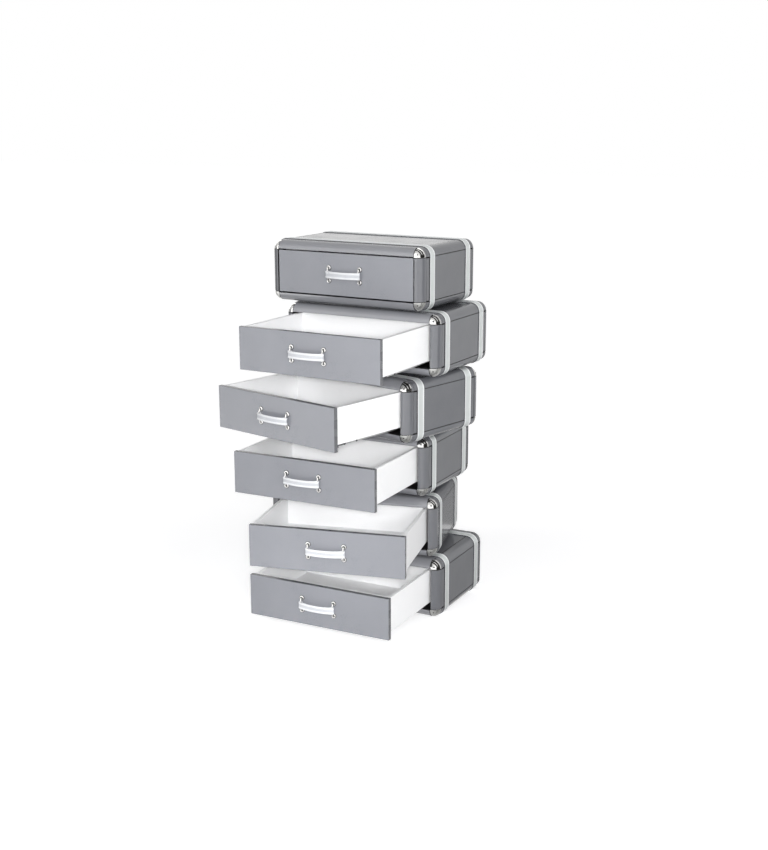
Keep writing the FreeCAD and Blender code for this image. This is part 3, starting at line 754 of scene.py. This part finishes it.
# %% [markdown]
# ## Hollow rivets
# A hollow rivet holds each dome to the block behind it. It is a short round bar whose outer face
# is inset and pushed in, which leaves a rim with a hole in it, painted black as painted shade. One
# corner with its rivet is then mirrored in three planes, which gives all eight.

# %% A rivet through each dome
RIVET, RIVET_FOOT, RIVET_TOP = 3.9 * MM, 33.6 * MM, 35.9 * MM
RIVET_RIM, RIVET_SUNK = 1.1 * MM, 0.8 * MM
rivet_way = Vector((0.385, -0.86, 0.32)).normalized()
rivet = bar("rivet", RIVET, ball_centre + rivet_way * RIVET_FOOT,
            ball_centre + rivet_way * RIVET_TOP, 24)
pick(rivet, "FACE", lambda f: f.normal.dot(rivet_way) > 0.9)
bpy.ops.mesh.inset(thickness=RIVET_RIM)
bpy.ops.transform.translate(value=-rivet_way * RIVET_SUNK)
done()


def rivet_hole(f):
    """The walls and floor of the hole: inside the rim and below its top."""
    out = f.center - ball_centre
    return out.length < RIVET_TOP - 0.3 * MM and out.cross(rivet_way).length < RIVET - 0.8 * MM


# The hole is painted black: painted shade.
finish_by_side(rivet, corner_chrome, black_stain_and_shade, rivet_hole)
ease(rivet, 0.35 * MM, 50)
caps = mirror(join("corner_caps", caps, rivet), "X", "Y", "Z")
print("a rivet stands", *in_mm(RIVET_TOP - EDGE), "mm proud of its dome")
set_down(caps, case_frame, "root", ["case_{}_corner_caps"])

# %% [markdown]
# ## Straps
# Each strap is a band with a raised rim along both sides. Its section is drawn once, as a grid one
# cell deep whose rows are the rims and the hollow between them, and is then carried round a
# quarter of the case: straight, round the corner, straight. Two mirror planes give the whole ring.

# %% The section of a strap
OUTER_EDGE, HOLLOW = 2.5 * MM, 2.3 * MM  # how thick the metal is there; STRAP_THICK at its rims
half_section = [(0, OUTER_EDGE), (1.0 * MM, STRAP_THICK), (4.4 * MM, STRAP_THICK),
                (6.0 * MM, HOLLOW)]
section = half_section + [(STRAP_WIDE - row, top) for row, top in reversed(half_section)]


def strap_section():
    """An upright grid, one cell wide and a metre high, whose points move to the section's rows."""
    take_up()
    bpy.ops.mesh.primitive_grid_add(x_subdivisions=1, y_subdivisions=len(section) - 1, size=1,
                                    location=(0, 0, 0), rotation=(0, math.radians(90), 0))
    piece = named("case_straps")
    levels = sorted({round(v.co.y, 5) for v in piece.data.vertices})
    foot = -strap_middle - STRAP_WIDE / 2
    for level, (row, top) in zip(levels, section):
        for start, height in ((-0.5, half_h), (0.5, half_h + top)):
            pick(piece, "VERT",
                 lambda v: near(round(v.co.y, 5), level) and abs(v.co.z - start) < 0.1)
            bpy.ops.transform.translate(value=(0, foot + row - level, height - start))
            done()
    return piece


straps = strap_section()
print("strap section", in_mm(*straps.dimensions), "mm")

# %% Carrying it round the case
pick(straps, "FACE", lambda f: True)
bpy.ops.mesh.extrude_region_move(TRANSFORM_OT_translate={"value": (corner_x, 0, 0)})
done()
pick(straps, "FACE", lambda f: near(middle_of(f).x, corner_x) and abs(f.normal.x) > 0.9)
bpy.ops.mesh.spin(steps=14, angle=math.radians(-90), center=(corner_x, 0, corner_z),
                  axis=(0, 1, 0))
done()
strap_reach = max(v.co.x for v in straps.data.vertices)
print("strap reaches", in_mm(strap_reach), "of", in_mm(half_w + STRAP_THICK), "mm")
pick(straps, "FACE", lambda f: near(middle_of(f).z, corner_z) and abs(f.normal.z) > 0.9)
bpy.ops.mesh.extrude_region_move(TRANSFORM_OT_translate={"value": (0, 0, -corner_z)})
done()

# %% Four quarters make a ring, two rings a case
pick(straps, "FACE", lambda f: (near(middle_of(f).x, 0) and abs(f.normal.x) > 0.9)
     or (near(middle_of(f).z, 0) and abs(f.normal.z) > 0.9))
bpy.ops.mesh.delete(type="FACE")
done()
apply_modifier(straps, "MIRROR", use_axis=(True, False, True), use_mirror_merge=True,
               merge_threshold=1e-5)
faces_out(straps)
ease(straps, 0.45 * MM, 50)
mirror(straps, "Y")
# The side edges of the strap take the dark edge grey: painted shade along both sides of the strap.
finish_by_side(straps, strap_metal, edge_shade_lacquer, lambda f: abs(f.normal.y) > 0.7)
set_down(straps, case_frame, "root", ["case_{}_straps"])

# %% [markdown]
# ## Drawer fronts
# A front is one lacquered board. The edges of its face are rounded by some two and a half
# millimetres, those of its back only broken, because nobody touches them. The four edges are
# painted a darker grey, painted shade that gives every front its thin dark outline.

# %% Drawer front
front = board("drawer_front", (-corner_x + FRONT_GAP, -half_d, -corner_z + FRONT_GAP),
              (corner_x - FRONT_GAP, front_back, corner_z - FRONT_GAP))
round_over(front, 2.4 * MM, 5, lambda e: near(middle_of(e).y, -half_d))
ease(front, SHARP_BREAK)
# The edges take the darker grey: painted shade.
finish_by_side(front, front_lacquer, edge_shade_lacquer, lambda f: abs(f.normal.y) < 0.55)
set_down(front, drawer_frame, "drawer_{}", ["drawer_{}_front"])

# %% [markdown]
# ## Drawer boxes
# Two sides, a front and a back hold a thin floor in grooves. The top edges are rounded because
# hands and clothes slide over them.

# %% Drawer box
def box_board(name, low, high):
    piece = board(name, low, high)
    round_over(piece, 1.6 * MM, 3, lambda e: near(middle_of(e).z, box_top))
    return piece


TONGUE = 0.2 * MM  # how far the floor reaches into its grooves
inner_half = box_half - BOX_SIDE
box_end = front_back + box_depth
box_side = box_board("side", (inner_half, front_back, box_bottom), (box_half, box_end, box_top))
box_side = mirror(box_side, "X")
box_front = box_board("front", (-inner_half, front_back, box_bottom),
                      (inner_half, front_back + BOX_SIDE, box_top))
box_back = box_board("back", (-inner_half, box_end - BOX_SIDE, floor_under),
                     (inner_half, box_end, box_top))
floor_board = board("floor", (-inner_half - TONGUE, front_back + BOX_SIDE - TONGUE, floor_under),
                    (inner_half + TONGUE, box_end - BOX_SIDE + TONGUE, floor_under + FLOOR_THICK))
drawer_box = ease(join("drawer_box", box_side, box_front, box_back, floor_board), 0.4 * MM)
paint(drawer_box, box_lacquer)
set_down(drawer_box, drawer_frame, "drawer_{}", ["drawer_{}_box"])

# %% [markdown]
# ## Handles: bails, rosettes and nuts
# Each end of the grip hangs on a bail, a bent rod with both legs through the front. A curve with a
# round bevel is the way to bend a rod, because its bends stay round. The rosettes are small cups
# turned on a lathe, which here is the spin tool: a round rim whose hollow about the rod is painted
# dark, and a thin black washer under it that draws a dark ring round the rim. Both are painted
# shade: the dark hollow stands in for its shade, the washer for the shadow round the rosette.

# %% The bail
SPACING, LOOP_HIGH, ROD = 140 * MM, 50 * MM, 2.8 * MM
STANDOFF, GRIP_HIGH, BOW = 12 * MM, 26 * MM, 16 * MM
GRIP_EYE = 7.3 * MM


def bent_rod(name, points, radius):
    """A rod along rounded corners, as a curve that becomes a mesh."""
    take_up()
    bpy.ops.curve.primitive_bezier_curve_add()
    rod = bpy.context.object
    spline = rod.data.splines[0]
    spline.bezier_points.add(len(points) - 2)
    for point, (spot, left, right) in zip(spline.bezier_points, points):
        point.handle_left_type = point.handle_right_type = "FREE"
        point.co, point.handle_left, point.handle_right = spot, left, right
    rod.data.resolution_u = 8
    rod.data.bevel_depth, rod.data.bevel_resolution, rod.data.use_fill_caps = radius, 5, True
    take_up(rod)
    bpy.ops.object.convert(target="MESH")
    return named(name)


def rounded_route(corners, bend):
    """Bezier points for straight runs joined by round bends."""
    corners = [Vector(corner) for corner in corners]
    route = [(corners[0], corners[0], corners[0])]
    for before, corner, after in zip(corners, corners[1:], corners[2:]):
        a, b = (before - corner).normalized(), (after - corner).normalized()
        cut = bend / math.tan(a.angle(b) / 2)
        first, last = corner + a * cut, corner + b * cut
        route += [(first, first + a * 0.1 * cut, first - a * 0.55 * cut),
                  (last, last - b * 0.55 * cut, last + b * 0.1 * cut)]
    return route + [(corners[-1], corners[-1], corners[-1])]


knee, bail_front = -half_d - 6.8 * MM, -half_d - STANDOFF
leg_z, eye_z = LOOP_HIGH / 2, GRIP_HIGH / 2
upper_half = [(front_back, leg_z), (knee, leg_z), (bail_front, eye_z)]
route = upper_half + [(y, -z) for y, z in reversed(upper_half)]
bail = bent_rod("bail", rounded_route([(SPACING / 2, y, z) for y, z in route], 3 * MM), ROD)
paint(bail, handle_chrome)
print("bail", in_mm(*bail.dimensions), "mm")

# %% The rosette and the nut
def turned(name, foot, profile, place, steps):
    """Spin a profile about the line that runs to the front at a place.

    The profile is pairs in millimetres: the radius, and how far in front of the foot.
    """
    take_up()
    x, z = place
    spots = [Vector((x + radius * MM, foot - proud * MM, z)) for radius, proud in profile]
    bpy.ops.mesh.primitive_plane_add(size=1 * MM, location=spots[0])
    piece = named(name)
    pick(piece, "VERT", lambda v: v.index > 0)
    bpy.ops.mesh.delete(type="VERT")
    done()
    pick(piece, "VERT", lambda v: True)
    start = bmesh.from_edit_mesh(piece.data).verts[:][0].co.copy()
    bpy.ops.transform.translate(value=spots[0] - start)
    for before, after in zip(spots, spots[1:]):
        bpy.ops.mesh.extrude_region_move(TRANSFORM_OT_translate={"value": after - before})
    bpy.ops.mesh.select_all(action="SELECT")
    bpy.ops.mesh.spin(steps=steps, angle=math.radians(360), center=(x, 0, z), axis=(0, 1, 0))
    done()
    return faces_out(piece)


face = -half_d
bore = ROD / MM - 0.2
rosette = turned("rosette", face, [
    (bore, 0.05), (10.6, 0.05), (10.6, 0.5), (9.7, 0.6), (9.8, 1.6), (9.1, 3.1), (7.8, 4.2),
    (6.3, 4.5), (5.2, 4.0), (4.5, 2.5), (4.1, 1.0), (bore, 0.7), (bore, 0.05)],
    (SPACING / 2, leg_z), 40)
nut = turned("nut", front_back, [
    (bore, 4), (4.9, 4), (5.2, 3.6), (5.2, 0.05), (bore, 0.05), (bore, 4)],
    (SPACING / 2, leg_z), 24)


def rosette_painted_shade(f):
    """Painted shade: the black washer under the rim, a painted shadow, and the dark hollow about
    the rod.
    """
    away = Vector((f.center.x - SPACING / 2, f.center.z - leg_z)).length / MM
    proud = (face - f.center.y) / MM
    return away > 9.9 or proud < 0.58 or (away < 5 and proud < 3.2)


# The washer and the hollow are painted black: painted shade.
finish_by_side(rosette, handle_chrome, black_stain_and_shade, rosette_painted_shade)
paint(nut, handle_chrome)
fittings = mirror(join("fittings", rosette, nut), "Z")
print("rosette and nut", in_mm(*fittings.dimensions), "mm")

# %% Both ends of the handle
handle_metal = mirror(join("handle_metal", bail, fittings), "X")
smooth(handle_metal, 35)
set_down(handle_metal, drawer_frame, "drawer_{}", ["drawer_{}_handle_loops"])

# %% [markdown]
# ## The leather grip
# One long strap of leather runs along the front of the grip, wraps round both bails and is sewn
# down on itself behind. Drawn from above it is a single open curve, so a curve with the strap's
# section as its bevel gives the whole piece, folds included. Its section has two padded rims with
# a flat channel between them, and the stitches lie in two rows where the rims meet the channel.

# %% The strap's path from above
LAYER = 2.1 * MM
wrap = GRIP_EYE - LAYER / 2
crown = bail_front - BOW - LAYER / 2
rise = bail_front - crown
arc_radius = ((SPACING / 2) ** 2 + rise ** 2 - wrap ** 2) / (2 * (rise - wrap))
arc_centre = crown + arc_radius
half_angle = math.asin((SPACING / 2) / (arc_radius - wrap))


def on_arc(angle, radius):
    return Vector((radius * math.sin(angle), arc_centre - radius * math.cos(angle), 0))


right_eye = Vector((SPACING / 2, bail_front, 0))
spots = [on_arc(half_angle * share, arc_radius) for share in (0, 0.2, 0.4, 0.6, 0.8, 1.0)]
for degrees in range(30, 211, 30):
    turn = half_angle + math.radians(degrees)
    spots.append(right_eye + wrap * Vector((math.sin(turn), -math.cos(turn), 0)))
spots += [on_arc(half_angle * share, arc_radius - LAYER - more * MM)
          for share, more in ((0.84, 2.4), (0.74, 0.6), (0.66, 0.15), (0.56, 0.1))]
left = [Vector((-p.x, p.y, 0)) for p in reversed(spots[1:])]
path_spots = left + spots
print("strap path", len(path_spots), "points, arc radius", in_mm(arc_radius), "mm")

# %% The section and the sweep
def leather_strap():
    take_up()
    bpy.ops.curve.primitive_nurbs_path_add()
    path = bpy.context.object
    path.data.splines.clear()
    spline = path.data.splines.new("BEZIER")
    spline.bezier_points.add(len(path_spots) - 1)
    for point, spot in zip(spline.bezier_points, path_spots):
        point.co = spot
        point.handle_left_type = point.handle_right_type = "AUTO"
    path.data.twist_mode, path.data.resolution_u = "Z_UP", 5
    h, t = GRIP_HIGH / 2, LAYER / 2
    outline = [(-h, -0.6 * t), (-h + 0.8 * MM, -t), (h - 0.8 * MM, -t), (h, -0.6 * t),
               (h, 0.5 * t), (h - 0.9 * MM, t), (h - 3.6 * MM, 1.05 * t), (h - 5.4 * MM, 0.8 * t),
               (h - 6.6 * MM, 0.35 * t), (h - 7.6 * MM, 0.3 * t), (-h + 7.6 * MM, 0.3 * t),
               (-h + 6.6 * MM, 0.35 * t), (-h + 5.4 * MM, 0.8 * t), (-h + 3.6 * MM, 1.05 * t),
               (-h + 0.9 * MM, t), (-h, 0.5 * t)]
    bpy.ops.curve.primitive_nurbs_path_add()
    section = bpy.context.object
    section.data.splines.clear()
    section.data.dimensions = "2D"
    ring = section.data.splines.new("POLY")
    ring.points.add(len(outline) - 1)
    for point, (along, up) in zip(ring.points, outline):
        point.co = (up, along, 0, 1)
    ring.use_cyclic_u = True
    path.data.bevel_mode, path.data.bevel_object, path.data.use_fill_caps = "OBJECT", section, True
    take_up(path)
    bpy.ops.object.convert(target="MESH")
    piece = named("handle_grip")
    bpy.data.objects.remove(section)
    return faces_out(piece)


grip = leather_strap()
smooth(grip, 50)
paint(grip, grip_leather)
print("grip", in_mm(*grip.dimensions), "mm")

# %% Stitches
STITCH = (1.5 * MM, 0.42 * MM, 0.45 * MM)
STITCHES = 36  # in each of the two rows
SEWN = 0.90  # the share of the arc that the rows cover


def stitch_row(z):
    """A row of short round stitches that follows the front of the grip."""
    stitches = []
    for i in range(STITCHES):
        angle = half_angle * SEWN * (2 * (i + 0.5) / STITCHES - 1)
        take_up()
        bpy.ops.mesh.primitive_uv_sphere_add(
            segments=8, ring_count=6, radius=1, scale=STITCH,
            location=on_arc(angle, arc_radius + 0.30 * LAYER) + Vector((0, 0, z)),
            rotation=(0, math.radians(6), angle))
        stitches.append(named("stitch"))
    return stitches


channel = GRIP_HIGH / 2 - 6.4 * MM
stitching = join("stitches", *stitch_row(channel), *stitch_row(-channel))
smooth(stitching, 60)
paint(stitching, grip_thread)
grip = join("handle_grip", grip, stitching)
set_down(grip, drawer_frame, "drawer_{}", ["drawer_{}_handle_grip"])

# %% [markdown]
# ## Runners under the drawer
# The steel channel is folded from sheet, and a black plastic clip at its front end locks the
# drawer to it. The clip has a lever that a finger can reach from the front, and a ribbed
# underside. The channel is a board with two long edges rounded, whose underside and ends are then
# deleted: what is left is its outer skin, and Solidify gives that skin the thickness of the sheet.

# %% The folded channel
RUNNER_WIDE = 32 * MM
clip_front = front_back + BOX_SIDE
runner_front = clip_front + 51 * MM
runner_back = box_end - 3 * MM
runner_out = inner_half - 2 * MM
runner_in = runner_out - RUNNER_WIDE
runner_low = floor_under - RUNNER_HIGH


def folded_channel():
    piece = board("channel", (runner_in, runner_front, runner_low),
                  (runner_out, runner_back, floor_under))
    for inner in (False, True):
        round_over(piece, 2.2 * MM, 4, lambda e: runs_along(e, 1)
                   and near(middle_of(e).z, floor_under)
                   and (middle_of(e).x < runner_out - RUNNER_WIDE / 2) == inner)
    pick(piece, "FACE", lambda f: f.normal.z < -0.9 or abs(f.normal.y) > 0.9)
    bpy.ops.mesh.delete(type="FACE")
    done()
    apply_modifier(piece, "SOLIDIFY", thickness=SHEET, offset=-1.0, use_even_offset=True)
    return ease(piece, 0.25 * MM)


runner = folded_channel()
paint(runner, runner_steel)
print("channel", in_mm(*runner.dimensions), "mm")

# %% The clip, its lever, ribs, wheel and buffer
CLIP_PLAY = 0.4 * MM
LEVER_WIDE, LEVER_LONG, LEVER_HIGH = 16 * MM, 12 * MM, 7 * MM
clip = board("clip", (runner_in, clip_front, runner_low),
             (runner_out, runner_front - CLIP_PLAY, floor_under))
toe = board("toe", (runner_in, front_back, runner_low),
            (runner_out, clip_front + SHEET, box_bottom))
lever = board("lever", (runner_out - LEVER_WIDE, clip_front, runner_low - LEVER_HIGH),
              (runner_out, clip_front + LEVER_LONG, runner_low))
rib_starts = [clip_front + (16 + 6 * i) * MM for i in range(5)]
ribs = [board("rib", (runner_out - 30 * MM, start, runner_low - 1.2 * MM),
              (runner_out - 4 * MM, start + 2.5 * MM, runner_low)) for start in rib_starts]


def axle(name, radius, behind, above, inner, outer):
    """A short round bar across the runner, from so far inside its outer wall to so far outside."""
    y, z = runner_front + behind * MM, runner_low + above * MM
    return bar(name, radius * MM, (runner_out - inner * MM, y, z),
               (runner_out + outer * MM, y, z), 20)


wheel = axle("wheel", 6, -7, 4.3, 6, 0.6)
buffer = axle("buffer", 4.5, 58, 3, 3, 1)
clip = ease(join("clip", clip, toe, lever, wheel, buffer, *ribs), 0.7 * MM)
paint(clip, black_plastic)
runners = mirror(join("drawer_runners", runner, clip), "X")
set_down(runners, drawer_frame, "drawer_{}", ["drawer_{}_runners"])

# %% [markdown]
# ## Construction nodes that stay
# The middle runners, the cabinet runners, the bolts and their spacers are right as they are. They
# only need their finishes. They have no made_at attribute, so their finishes read the object's
# own coordinates instead.

# %% Finishes for the hidden hardware
def plain_hardware(name, deep, light, shine, metallic, stretch):
    material, shader, start = finish_coat(name, {"Metallic": metallic})
    place = start.node("ShaderNodeTexCoord", {}, {}, 3)
    line = place.noise(80.0, 4.0, stretch)
    bloom = place.noise(24.0, 3.0)
    wired(shader, Base_Color=(0.5 * line + 0.5 * bloom).step(0.3, 0.7).tint(deep, light),
          Roughness=shine + 0.15 * bloom, Normal=bumped(start, line, 0.04 * MM))
    return material


ZINC = (0.42, 0.42, 0.40), (0.60, 0.60, 0.57)
hidden_steel = plain_hardware("hidden_runner_steel", *STEEL, 0.28, 1.0, (1.0, 0.2, 1.0))
hidden_zinc = plain_hardware("hidden_fastener_steel", *ZINC, 0.3, 1.0, EVEN)
hidden_plastic = plain_hardware("hidden_spacer_plastic", *PLASTIC, 0.45, 0.0, EVEN)
hardware = {f"middle_runners_{n}": hidden_steel for n in CASES}
hardware.update(cabinet_runners=hidden_steel, runner_screws=hidden_zinc, stack_bolts=hidden_zinc,
                stack_nuts=hidden_zinc, stack_spacers=hidden_plastic)
for node, finish in hardware.items():
    paint(frame["nodes"][node], finish)
print("hardware nodes", len(hardware))

# %% [markdown]
# ## The floor
# The floor is a wide white sheet. It has to look white to the camera and still show the chest's
# shadow, so for camera rays part of its brightness is its own and part comes from the lamps. Near
# the chest the lamps' part is larger, so that the shadow shows, and far away it is smaller.
# Mirrors see one plain bright floor.

# %% Floor
NEAR_PAPER, FAR_PAPER = (0.85, 0.47), (0.50, 0.78)  # colour that the lamps light, and own glow
NEAR, FAR = 0.9, 2.4
COOL = 1.014  # the paper is a little bluer than it is red or green
BELOW = -0.6 * MM
CAMERA_RAY, GLOSSY_RAY, TRANSMISSION_RAY = 0, 3, 6  # outputs of the Light Path node


def glow(start, strength):
    return start.node("ShaderNodeEmission", {}, {"Color": (1, 1, 1, 1), "Strength": strength})


def paper(start, shade, strength):
    lit = start.node("ShaderNodeBsdfDiffuse", {}, {"Color": (shade, shade, shade * COOL, 1)})
    return start.node("ShaderNodeAddShader", {}, {0: lit, 1: glow(start, strength)})


def mixed(start, share, first, second):
    return start.node("ShaderNodeMixShader", {}, {0: share, 1: first, 2: second})


def studio_floor():
    take_up()
    bpy.ops.mesh.primitive_plane_add(size=60, location=(0, 0, BELOW))
    floor = named("studio_floor")
    material = bpy.data.materials.new("studio_white")
    material.use_nodes = True
    tree = material.node_tree
    tree.nodes.remove(tree.nodes["Principled BSDF"])
    start = Wire(tree)
    seen = start.node("ShaderNodeLightPath", {}, {}, CAMERA_RAY)
    mirrored = start.node("ShaderNodeLightPath", {}, {}, GLOSSY_RAY)
    away = start.node("ShaderNodeTexCoord", {}, {}, 3).length().step(NEAR, FAR)
    shown = mixed(start, away, paper(start, *NEAR_PAPER), paper(start, *FAR_PAPER))
    plain = start.node("ShaderNodeBsdfDiffuse", {}, {"Color": (0.8, 0.8, 0.8, 1)})
    unseen = mixed(start, mirrored, plain, glow(start, 0.95))
    outer = mixed(start, seen, unseen, shown)
    tree.links.new(outer.socket, tree.nodes["Material Output"].inputs[0])
    paint(floor, material)


studio_floor()
print("floor ready")

# %% [markdown]
# ## World, lamps and cards
# The sky is white to the camera and in reflections, and gives an even soft light of its own. The
# lamps are few, wide and out of sight of mirrors. Chrome and gloss show what stands round them,
# so cards that only reflections see are put up instead: dark ones that draw the shapes and
# bright softboxes that give them their shine.

# %% World
world = bpy.data.worlds.new("studio")
bpy.context.scene.world = world
world.use_nodes = True
air = Wire(world.node_tree)
background = world.node_tree.nodes["Background"]
background.inputs["Color"].default_value = (1, 1, 1, 1)
camera_ray, glossy_ray, clear_ray = [air.node("ShaderNodeLightPath", {}, {}, ray) for ray in
                                     (CAMERA_RAY, GLOSSY_RAY, TRANSMISSION_RAY)]
direct = (camera_ray + glossy_ray).maths("ADD", clear_ray, clamp=True)
SKY = 0.405  # the light that the sky gives, as a share of the white that is seen
world.node_tree.links.new((SKY + (1 - SKY) * direct).socket, background.inputs["Strength"])
print("world ready, sky", SKY)

# %% Lamps
MIDDLE = Vector((0, 0, 0.75))
EYE = Vector((2.47305, -4.55119, 2.0228))


def lamp_added(kind, name, place, turn):
    """A lamp that mirrors don't see."""
    take_up()
    bpy.ops.object.light_add(type=kind, location=place, rotation=turn)
    lamp = bpy.context.object
    lamp.name = name
    lamp.visible_glossy = False
    return lamp


def soft_sun(name, towards, strength, spread):
    """A wide sun: even light from one side, with soft shadows."""
    turn = Vector(towards).to_track_quat("Z", "Y").to_euler()
    lamp = lamp_added("SUN", name, (0, 0, 4), turn)
    lamp.data.energy, lamp.data.angle = strength * math.pi, math.radians(spread)


def round_lamp(name, place, aim, strength, width):
    """A round lamp that lights its aim as brightly as a white sky times its strength."""
    reach = Vector(place) - Vector(aim)
    lamp = lamp_added("AREA", name, place, reach.to_track_quat("Z", "Y").to_euler())
    lamp.data.shape, lamp.data.size = "DISK", width
    lamp.data.energy = strength * math.pi ** 2 * reach.length_squared
    return lamp


round_lamp("front_lamp", EYE, MIDDLE, 0.64, 0.4)
round_lamp("right_lamp", (4.0, -3.1, 2.1), MIDDLE, 0.275, 1.2)
low_lamp = round_lamp("low_lamp", (0.82, -1.70, 0.75), (0, -0.45, 0.15), 0.017, 0.2)
low_lamp.data.spread = math.radians(40)
soft_sun("key_lamp", (-0.40, -0.68, 0.60), 0.10, 16)
print("lamps", len(bpy.data.lights))

# %% Cards that only reflections see
CARDS = [  # name, place, aim, width and height, glow
    ("card_right", (3.5, 0.3, 0.9), MIDDLE, (1.4, 2.6), 0.1),
    ("card_left", (-3.4, -0.6, 1.0), MIDDLE, (0.9, 2.2), 0.0),
    ("card_back", (0.0, 1.25, 0.35), (0.0, 0.0, 0.35), (1.2, 1.0), 0.37),
    ("card_behind", (-3.3, 6.0, 2.4), (0, 0, 1.4), (5.5, 2.6), 0.97),
    ("card_floor", (0.78, 0.35, 0.004), (0.78, 0.35, 1.0), (0.8, 1.4), 0.5),
    ("card_far_floor", (1.6, 2.2, 0.004), (1.6, 2.2, 1.0), (1.4, 1.8), 0.65),
    ("left_floor", (-3.3, -2.2, 0.003), (-3.3, -2.2, 1.0), (2.6, 2.6), 4.6),
    ("softbox_low", (-2.05, -3.1, 0.65), (-2.05, 0, 0.65), (5.1, 1.3), 3.0),
    ("softbox_high", (-2.05, -3.1, 2.9), (-2.05, 0, 2.9), (5.1, 3.2), 2.5),
    ("softbox_right", (2.1, -2.4, 1.3), (0, 0, 1.3), (4.2, 2.6), 1.8),
    ("bright_floor", (0.4, -2.1, 0.003), (0.4, -2.1, 1.0), (4.5, 2.0), 1.7),
]


def reflected_card(name, place, aim, size, strength):
    """A matt black card, or a softbox where it glows."""
    take_up()
    turn = (Vector(aim) - Vector(place)).to_track_quat("Z", "Y").to_euler()
    bpy.ops.mesh.primitive_plane_add(size=1, location=place, rotation=turn)
    bpy.context.object.scale = (*size, 1)
    card = named(name)
    paint(card, finish_coat(name, {"Base Color": (0.01, 0.01, 0.01, 1), "Roughness": 1.0,
                                   "Emission Color": (1, 1, 1, 1),
                                   "Emission Strength": strength})[0])
    card.visible_camera = card.visible_diffuse = False
    card.visible_shadow = card.visible_transmission = False


for card in CARDS:
    reflected_card(*card)
print("cards", len(CARDS))

# %% [markdown]
# ## The camera
# The camera stands in front of the chest and to its right, half a metre above its top, and looks
# down on it by fourteen degrees. It is rolled by a sixth of a degree, and its lens is shifted by a
# few pixels, because the middle of a lens is never quite the middle of its picture.

# %% Camera
FORWARD = Vector((-0.44622, 0.86054, -0.24568)).normalized()
ROLL = -0.0029
PICTURE_WIDE, PICTURE_HIGH = 768, 850
LENS_MIDDLE = (376.76, 437.88)
FOCAL_PIXELS = 1344.99
SENSOR = 36


def aim_camera():
    right = FORWARD.cross(Vector((0, 0, 1))).normalized()
    up = right.cross(FORWARD)
    across = right * math.cos(ROLL) + up * math.sin(ROLL)
    upright = up * math.cos(ROLL) - right * math.sin(ROLL)
    take_up()
    bpy.ops.object.camera_add()
    camera = bpy.context.object
    place = Matrix((across, upright, -FORWARD)).transposed().to_4x4()
    place.translation = EYE
    camera.matrix_world = place
    lens = camera.data
    lens.sensor_fit, lens.sensor_height, lens.sensor_width = "VERTICAL", SENSOR, SENSOR
    lens.lens = FOCAL_PIXELS * SENSOR / PICTURE_HIGH
    lens.shift_x = (PICTURE_WIDE / 2 - LENS_MIDDLE[0]) / PICTURE_HIGH
    lens.shift_y = (LENS_MIDDLE[1] - PICTURE_HIGH / 2) / PICTURE_HIGH
    bpy.context.scene.camera = camera
    print("lens", round(lens.lens, 2), "mm")


aim_camera()
bpy.context.scene.view_settings.view_transform = "Standard"
